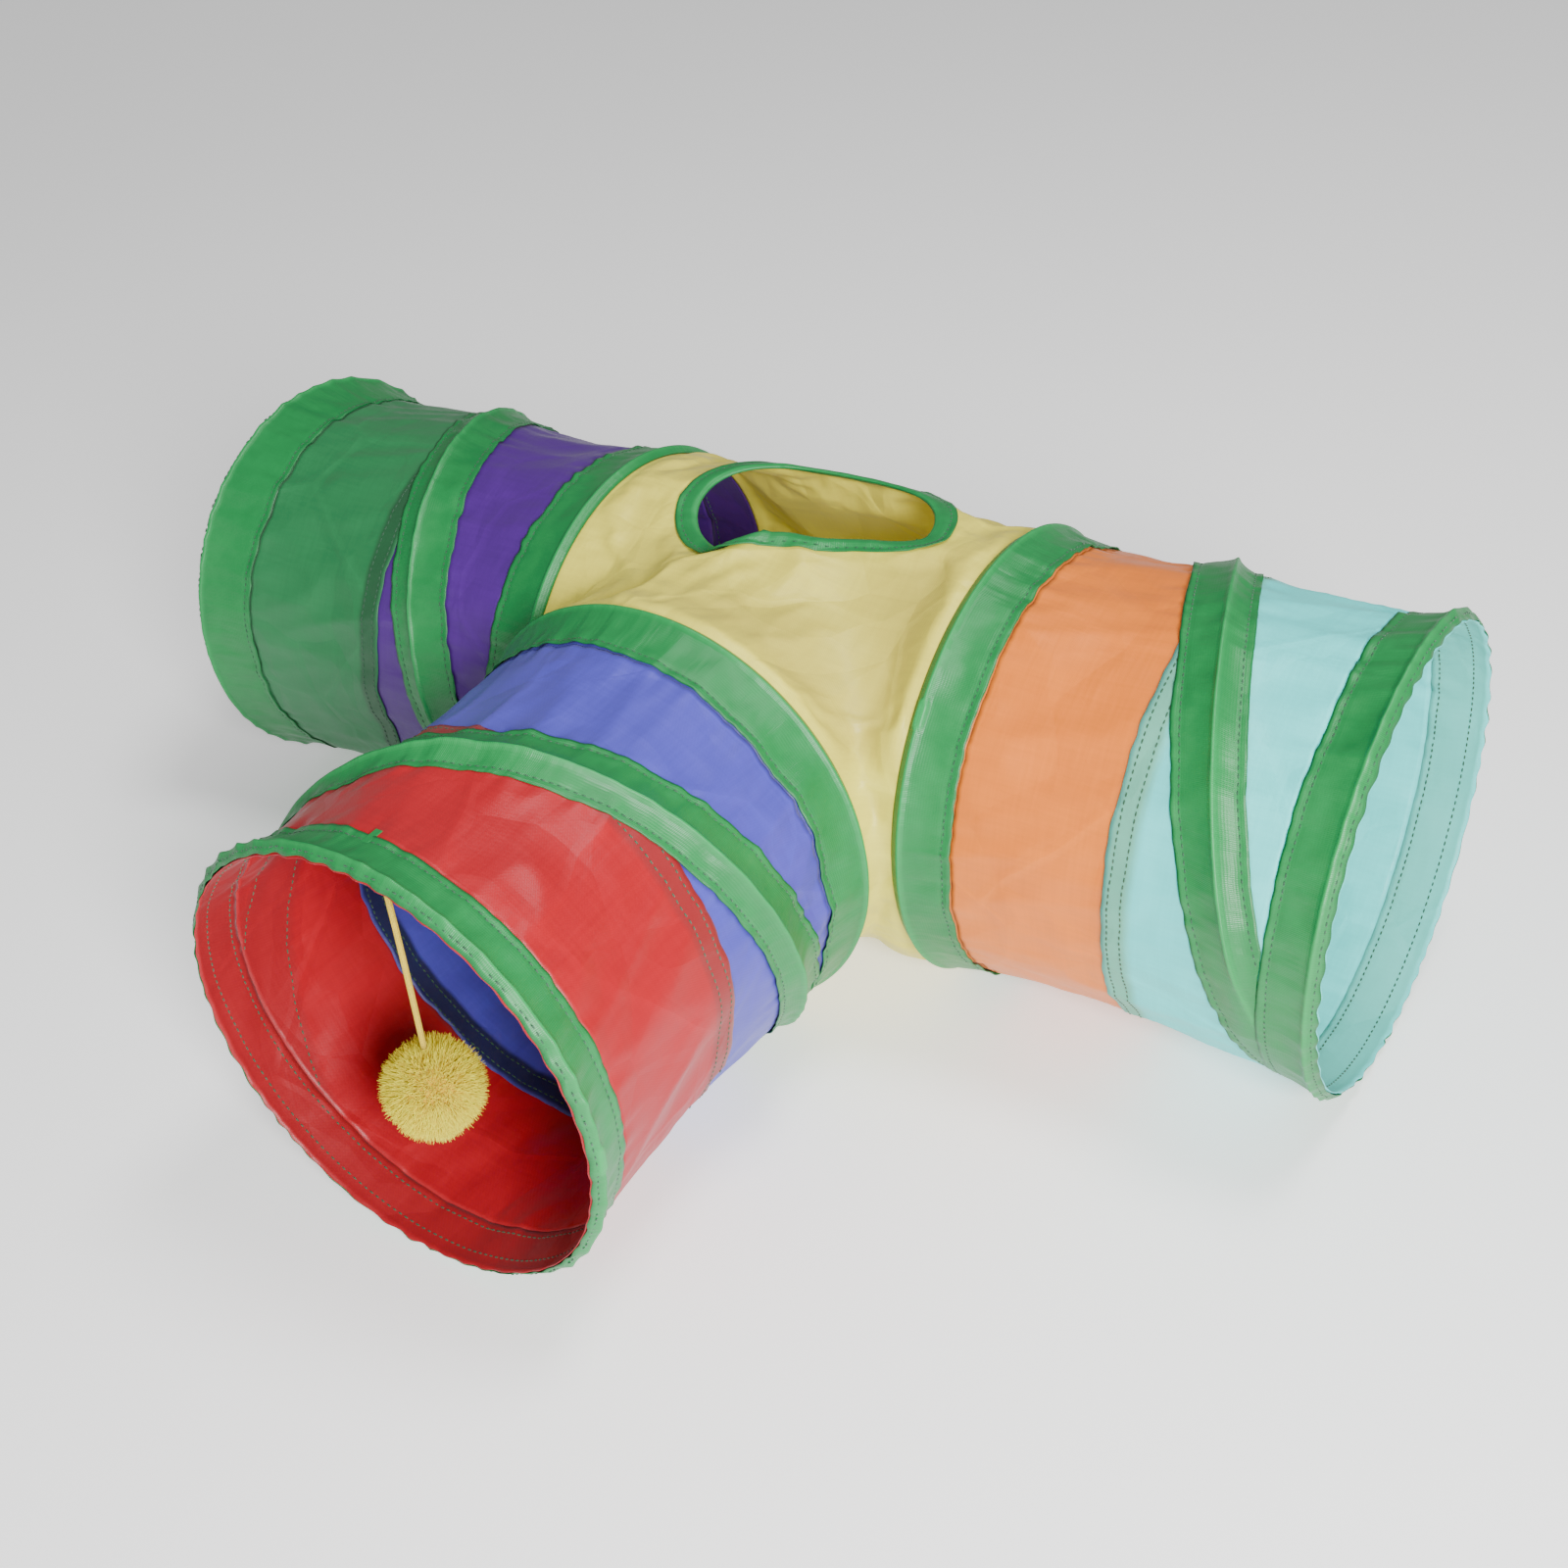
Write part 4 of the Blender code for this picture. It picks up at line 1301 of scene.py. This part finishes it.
def make_hub_cloth(hub):
    """The hub's sleeve: a rounded tee, cut open, folded, draped and given painted shade in the hollows of its
    folds.
    """
    piece = hub_tee(hub, 0.014)
    shape = bmesh.new()
    shape.from_mesh(piece.data)
    for _ in range(4):
        shape.normal_update()
        for vert in shape.verts:
            away = vert.co - hub.centre
            if -hub.ends["left"] - 0.012 < away.x < hub.ends["right"] + 0.012 \
                    and away.y > -hub.ends["front"] - 0.012:
                vert.co -= vert.normal * hub_skin(hub, vert.co) * 0.7
        bmesh.ops.smooth_vert(shape, verts=shape.verts, factor=0.3,
                              use_axis_x=True, use_axis_y=True, use_axis_z=True)
    tuck = bpy.context.scene.tunnel_hub.tuck
    for arm in hub.arms.values():
        cut_off(shape, arm.matrix.translation + arm.along * tuck, arm.along)
    inside = [face for face in shape.faces if face.calc_center_median().z > hub.centre.z + 0.05
              and hub.oval(*face.calc_center_median().xy) < 0.97]
    bmesh.ops.delete(shape, geom=inside, context="FACES")
    for vert in shape.verts:
        away = vert.co - hub.centre
        near_end = min(hub.ends["right"] + tuck - away.x, hub.ends["left"] + tuck + away.x,
                       hub.ends["front"] + tuck + away.y)
        if near_end < 1e-5:
            continue
        if vert.co.z > hub.centre.z + 0.04:
            oval = hub.oval(vert.co.x, vert.co.y)
            vert.co.z += hub.lift(vert.co.x, vert.co.y)
            if vert.is_boundary:
                vert.co.x = hub.hole.x + (vert.co.x - hub.hole.x) / oval * 1.01
                vert.co.y = hub.hole.y + (vert.co.y - hub.hole.y) / oval * 1.01
                vert.co.z = hub.height(vert.co.x, vert.co.y)
    shape.normal_update()
    for vert in shape.verts:
        free = ramp(0.0, 0.030, edge_distance(hub, vert.co))
        vert.co += vert.normal * (hub_folds(hub, vert.co)[0] - 0.0016) * free
    bmesh.ops.remove_doubles(shape, verts=shape.verts, dist=2e-4)
    face_out(shape, hub.centre)
    area = sum(face.calc_area() for face in shape.faces)
    shape.to_mesh(piece.data)
    shape.free()
    drape(piece, lambda co: 1.0 if edge_distance(hub, co) < 0.0035 else 0.0, 0.011)
    shape = bmesh.new()
    shape.from_mesh(piece.data)
    for vert in shape.verts:
        vert.co.z = max(vert.co.z, 0.0012)
        base = hub_skin(hub, vert.co)
        if base > 0.010:
            vert.co -= vert.normal * (base - 0.010)
    tone = shape.verts.layers.float.new("tone")

    def sleeve_uv(corner, _):
        away = corner - hub.centre
        return away.x, math.atan2(away.y, away.z) * hub.radius

    write_uv(shape, sleeve_uv)
    for vert in shape.verts:
        # Painted shade in the hollows of the folds, away from the edges.
        hollow = ramp(0.4, -0.6, hub_folds(hub, vert.co)[1])
        vert[tone] = 0.42 * hollow * ramp(0.0, 0.025, edge_distance(hub, vert.co))
    shape.to_mesh(piece.data)
    shape.free()
    piece.data.shade_smooth()
    fine = piece.modifiers.new("fine", "SUBSURF")
    fine.levels = fine.render_levels = 1
    settle(piece)
    thicken(piece, bpy.context.scene.tunnel_cloth.cloth)
    attach(piece, "hub", ("hub_sleeve",))
    width = FULL_TURN * hub.radius
    max(area / width, 0.05)


def make_peephole_tape(hub):
    """A tape folded over the peephole's edge, with a lap and a row of stitches."""
    width = bpy.context.scene.tunnel_hub.binding
    under = width * 0.4
    stitch = width - 0.0035
    half = (hub.half_length + hub.half_width) / 2
    tree = BVHTree.FromObject(bpy.data.objects["hub_cloth"], bpy.context.evaluated_depsgraph_get())

    def lap(angle):
        """1 where the tape's two ends lie on each other."""
        away = math.remainder(angle - hub.lap, FULL_TURN) * half
        return 1 - ramp(0.0065, 0.0072, abs(away - 0.004))

    def cloth_top(x, y, usual):
        """The draped cloth's height here and how steep it is, or the usual height where there's none."""
        hit, normal, _, _ = tree.ray_cast(Vector((x, y, hub.centre.z + 0.3)), -UP)
        if hit and abs(hit.z - usual) < 0.02:
            return hit.z, 1 / max(0.30, abs(normal.z))
        return usual, 1.0

    def surface(across, angle):
        """Across runs from the tape's upper edge, over the fold at 0, to its lower edge."""
        out = abs(across)
        upper = across < 0
        x, y = hub.rim(angle, out)
        top = hub.height(x, y)
        spot = Vector((x, y, 0.0))
        roll = 0.0011 * math.cos(min(out / 0.0025, 1.0) * math.pi / 2)
        wrinkle = 0.0005 * ruffle(spot, 0.010, 8.0) * ramp(0.0, 0.004, out)
        pinch = -0.0005 * hump(stitch, 0.0012, out)
        if upper:
            found, steep = cloth_top(x, y, top)
            top = max(top, found + 0.0004 * steep - 0.0002)
            return Vector((x, y, top + 0.0004 + 0.0011 * (1 - roll / 0.0011) + wrinkle + pinch
                           + 0.0008 * lap(angle)))
        return Vector((x, y, top - 0.0006 - 0.0011 * (1 - roll / 0.0011) + wrinkle - pinch))

    # Painted shade along the tape's folded edges.
    def folded_edge_shade(across, _):
        return 1 - ramp(0.0004, 0.0014, under - across if across > 0 else width + across)

    rows = [-width + width * number / 12 for number in range(12)]
    rows += [-0.0004, 0.0, 0.0004] + [under * number / 6 for number in range(1, 7)]
    shape = new_tube(rows, 240)
    write_uv(shape, tube_uv(half))
    # A painted highlight along the rolled fold, a little lighter where the two ends lie on each other.
    lay_tube(shape, surface,
             tone=lambda across, angle: 0.55 * hump(-0.0015, 0.0015, across) + 0.2 * lap(angle),
             edge=folded_edge_shade)
    bmesh.ops.recalc_face_normals(shape, faces=shape.faces)
    shape.normal_update()
    upper = [face for face in shape.faces if face.calc_center_median().z
             > hub.height(*face.calc_center_median().xy)]
    if sum(face.normal.z for face in upper) < 0:
        bmesh.ops.reverse_faces(shape, faces=shape.faces)
    piece = new_piece("peephole_tape", shape, "green_tape")
    thicken(piece, bpy.context.scene.tunnel_cloth.tape)
    attach(piece, "hub", ("peephole_binding",))
    pitch = bpy.context.scene.tunnel_stitch.pitch
    count = round(FULL_TURN * half / pitch)
    places = []
    for number in range(count):
        angle = FULL_TURN * number / count
        here = surface(-stitch, angle)
        ahead = surface(-stitch, angle + 0.02)
        tangent = (ahead - here).normalized()
        side = UP.cross(tangent).normalized()
        places.append(pointing(tangent, side, tangent.cross(side), here))
    thread = attach(sew("peephole_stitches", places, None, 9.0), "hub")


# Pompom -----------------------------------------------------------------------------------------

def make_cord():
    """A round braided cord from the knot down into the pompom."""
    low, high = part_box("pompom_cord")
    knot = centre_of("cord_knot")
    thick = (high.x - low.x) / 2
    top = Vector((knot.x, knot.y, high.z))
    points = 28
    shape = bmesh.new()
    bmesh.ops.create_circle(shape, cap_ends=True, segments=14, radius=thick,
                            matrix=Matrix.Translation(top))
    length = high.z - low.z
    face = shape.faces[:][0]
    for _ in range(points):
        face = bmesh.ops.extrude_discrete_faces(shape, faces=[face])["faces"][0]
        bmesh.ops.translate(shape, verts=face.verts, vec=(0, 0, -length / points))
    bmesh.ops.remove_doubles(shape, verts=shape.verts, dist=WELD)

    def bow(height):
        """The limp cord's small bend from hanging still."""
        share = (top.z - height) / length
        return 0.0006 * math.sin(math.pi * share)

    write_uv(shape, tube_uv(thick, top))
    path = [(top.x + bow(top.z - length * n / points), top.y, top.z - length * n / points)
            for n in range(points + 1)]
    for vert in shape.verts:
        vert.co.x += bow(vert.co.z)
    bmesh.ops.recalc_face_normals(shape, faces=shape.faces)
    piece = new_piece("braided_cord", shape, "yellow_cord")
    attach(piece, "pompom", ("pompom_cord",))
    return piece, top, length, 2 * thick, path


def make_knot():
    """A small overhand knot under the tack."""
    middle = centre_of("cord_knot")
    radius = half_height("cord_knot")
    shape = bmesh.new()
    bmesh.ops.create_icosphere(shape, subdivisions=4, radius=radius)
    for vert in shape.verts:
        around = math.atan2(vert.co.y, vert.co.x)
        turn = math.sin(2 * around + vert.co.z / radius * 3.2)
        vert.co *= 0.93 + 0.07 * turn
    write_uv(shape, lambda corner, _: (math.atan2(corner.y, corner.x) * radius, corner.z))
    piece = new_piece("cord_knot_loops", shape, "yellow_cord", Matrix.Translation(middle))
    attach(piece, frame["nodes"]["cord_knot"]["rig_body"], ("cord_knot",))


def make_pompom_ball():
    """A packed yarn core with thousands of cut ends round it."""
    sizes = bpy.context.scene.tunnel_pompom
    middle = centre_of("pompom")
    radius = half_height("pompom")
    rng = np.random.default_rng(7)
    shape = bmesh.new()
    tone = shape.verts.layers.float.new("tone")
    edge = shape.verts.layers.float.new("edge")
    bmesh.ops.create_icosphere(shape, subdivisions=5, radius=radius * sizes.core)
    for vert in shape.verts:
        vert.co *= 1 + 0.05 * ruffle(vert.co, 0.006, 2.0) + 0.03 * ruffle(vert.co, 0.002, 3.0)
        vert[tone] = 0.3 + 0.5 * ruffle(vert.co, 0.003, 6.0)
        # Painted shade on the packed core.
        vert[edge] = 0.85
    golden = math.pi * (3 - math.sqrt(5))
    fibres, core, thick = sizes.fibres, sizes.core, sizes.fibre_width

    def add(bunch, number):
        height = 1 - 2 * (number + 0.5) / fibres
        ring = math.sqrt(1 - height * height)
        spot = Vector((ring * math.cos(golden * number), ring * math.sin(golden * number), height))
        spot = (spot + Vector(rng.normal(0, 0.05, 3))).normalized()
        lean = Vector(rng.normal(0, 0.22, 3)) + 0.25 * Vector((
            ruffle(spot * radius, 0.008, 1.0), ruffle(spot * radius, 0.008, 9.0), -0.15))
        way = (spot + lean).normalized()
        first = radius * (core - 0.08)
        lump = 0.07 * ruffle(spot * radius, 0.011, 5.0)
        reach = min(radius * (0.97 + lump + 0.050 * float(rng.normal())), radius * 1.08)
        depth = reach - first
        turn = way.to_track_quat("Z", "Y").to_matrix().to_4x4()
        place = Matrix.Translation(spot * first + way * depth / 2) @ turn
        width = thick * (0.75 + 0.5 * float(rng.random()))
        made = bmesh.ops.create_cone(bunch, cap_ends=True, segments=4, radius1=width * 0.5,
                                     radius2=width * 0.18, depth=depth, matrix=place)
        own = float(rng.random())
        # Painted shade towards the root of each end, none at its tip.
        bunch_tone, bunch_root_shade = (bunch.verts.layers.float[key] for key in ("tone", "edge"))
        for vert in made["verts"]:
            vert[bunch_tone] = own
            vert[bunch_root_shade] = 0.75 if vert.co.length < reach * 0.92 else 0.0

    gather(fibres, add, shape)
    piece = new_piece("yarn_pompom", shape, "pompom_yarn", Matrix.Translation(middle))
    attach(piece, "pompom", ("pompom",))
    return piece


# Stage ------------------------------------------------------------------------------------------

def place_camera(place, target, roll, lens, shift):
    forward = (target - place).normalized()
    right = forward.cross(UP).normalized()
    up = right.cross(forward)
    turned_right = math.cos(roll) * right + math.sin(roll) * up
    turned_up = -math.sin(roll) * right + math.cos(roll) * up
    camera = bpy.data.objects.new("camera", bpy.data.cameras.new("camera"))
    bpy.context.scene.collection.objects.link(camera)
    camera.data.lens = lens
    camera.data.sensor_width = 36
    camera.data.shift_x, camera.data.shift_y = shift
    camera.data.clip_start = 0.01
    camera.matrix_world = pointing(turned_right, turned_up, -forward, place)
    bpy.context.scene.camera = camera


def place_light(name, place, target, size, power):
    light = bpy.data.lights.new(name, "AREA")
    light.shape = "DISK"
    light.size = size
    light.energy = power
    obj = bpy.data.objects.new(name, light)
    bpy.context.scene.collection.objects.link(obj)
    obj.location = place
    obj.rotation_euler = (Vector(target) - Vector(place)).to_track_quat("-Z", "Y").to_euler()


# Operators --------------------------------------------------------------------------------------

def all_arms():
    return {name: Arm(name) for name in ARM_NAMES}


class TUNNEL_OT_stage(bpy.types.Operator):
    """Floor, world, lights and camera"""
    bl_idname = "tunnel.stage"
    bl_label = "Set the Stage"

    def execute(self, context):
        shape = bmesh.new()
        bmesh.ops.create_grid(shape, x_segments=8, y_segments=8, size=5.0,
                              matrix=Matrix.Translation((0, 0, -0.0004)))
        floor = new_piece("pale_floor", shape, "pale_floor")
        world = context.scene.world or bpy.data.worlds.new("studio")
        context.scene.world = world
        world.use_nodes = True
        sky = world.node_tree.nodes["Background"]
        sky.inputs["Color"].default_value = (1.0, 1.0, 1.0, 1.0)
        sky.inputs["Strength"].default_value = 0.26
        place_light("key", (1.25, -1.00, 0.95), (0, 0, 0.1), 0.55, 60)
        place_light("fill", (-0.9, -1.9, 1.2), (0, 0, 0.1), 1.0, 4)
        place_light("top", (0.55, 0.25, 1.9), (0.05, 0, 0.1), 0.6, 20)
        place_camera(Vector((0.5635, -0.6755, 0.7413)), Vector((0.0095, 0.018, 0.125)),
                     math.radians(-7.043), 45.22, (0.0523, -0.0025))
        return {"FINISHED"}


class TUNNEL_OT_pompom(bpy.types.Operator):
    """Yarn pompom on its braided cord and knot"""
    bl_idname = "tunnel.pompom"
    bl_label = "Hang the Pompom"

    def execute(self, context):
        cord, exit_point, length, diameter, path = make_cord()
        make_knot()
        ball = make_pompom_ball()
        tuple(exit_point)
        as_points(path)
        return {"FINISHED"}


class TUNNEL_OT_arm_cloth(bpy.types.Operator):
    """Cloth panels of the three arms"""
    bl_idname = "tunnel.arm_cloth"
    bl_label = "Sew the Arm Panels"

    def execute(self, context):
        for arm in all_arms().values():
            make_arm_cloth(arm)
        return {"FINISHED"}


class TUNNEL_OT_ring_tapes(bpy.types.Operator):
    """Tapes over the six ring wires"""
    bl_idname = "tunnel.ring_tapes"
    bl_label = "Sew the Ring Tapes"

    def execute(self, context):
        for arm in all_arms().values():
            for end in Arm.CRIMPS:
                make_ring_tape(arm, end)
        return {"FINISHED"}


class TUNNEL_OT_coils(bpy.types.Operator):
    """Coil springs and the tapes over them"""
    bl_idname = "tunnel.coils"
    bl_label = "Wind the Coils"

    def execute(self, context):
        for arm in all_arms().values():
            make_coil_spring(arm)
            make_coil(arm)
        return {"FINISHED"}


class TUNNEL_OT_hub(bpy.types.Operator):
    """Yellow cloth of the hub"""
    bl_idname = "tunnel.hub"
    bl_label = "Drape the Hub"

    def execute(self, context):
        make_hub_cloth(Hub(all_arms()))
        return {"FINISHED"}


class TUNNEL_OT_peephole(bpy.types.Operator):
    """Tape round the peephole"""
    bl_idname = "tunnel.peephole"
    bl_label = "Bind the Peephole"

    def execute(self, context):
        make_peephole_tape(Hub(all_arms()))
        return {"FINISHED"}


class TUNNEL_OT_hardware(bpy.types.Operator):
    """Steel on the rings and crimps, and the tape finish on the tack, which stay as they are"""
    bl_idname = "tunnel.hardware"
    bl_label = "Finish the Hardware"

    def execute(self, context):
        finishes = {"cord_tack": "green_tape"}
        for arm in ARM_NAMES:
            for end in Arm.CRIMPS:
                finishes[f"{arm}_{end}_ring_wire"] = "spring_steel"
                finishes[f"{arm}_{end}_crimp"] = "spring_steel"
        for node, finish in finishes.items():
            piece = frame["nodes"][node]
            piece.data.materials.clear()
            piece.data.materials.append(material(finish))
        return {"FINISHED"}


STEPS = (TUNNEL_OT_stage, TUNNEL_OT_pompom, TUNNEL_OT_arm_cloth, TUNNEL_OT_ring_tapes,
         TUNNEL_OT_coils, TUNNEL_OT_hub, TUNNEL_OT_peephole, TUNNEL_OT_hardware)


class TUNNEL_PT_sidebar(bpy.types.Panel):
    """Lists the tunnel's making steps"""
    bl_idname = "TUNNEL_PT_sidebar"
    bl_label = "Pet Tunnel"
    bl_space_type = "VIEW_3D"
    bl_region_type = "UI"
    bl_category = "Pet Tunnel"

    def draw(self, context):
        for step in STEPS:
            self.layout.operator(step.bl_idname)


def register():
    for kind in (*SETTINGS.values(), *STEPS, TUNNEL_PT_sidebar):
        bpy.utils.register_class(kind)
    for name, kind in SETTINGS.items():
        setattr(bpy.types.Scene, name, PointerProperty(type=kind))


def unregister():
    for name in SETTINGS:
        delattr(bpy.types.Scene, name)
    for kind in reversed((*SETTINGS.values(), *STEPS, TUNNEL_PT_sidebar)):
        bpy.utils.unregister_class(kind)


def main():
    register()
    for step in STEPS:
        group, _, action = step.bl_idname.partition(".")
        getattr(getattr(bpy.ops, group), action)()
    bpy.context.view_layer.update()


if __name__ == "__main__":
    main()
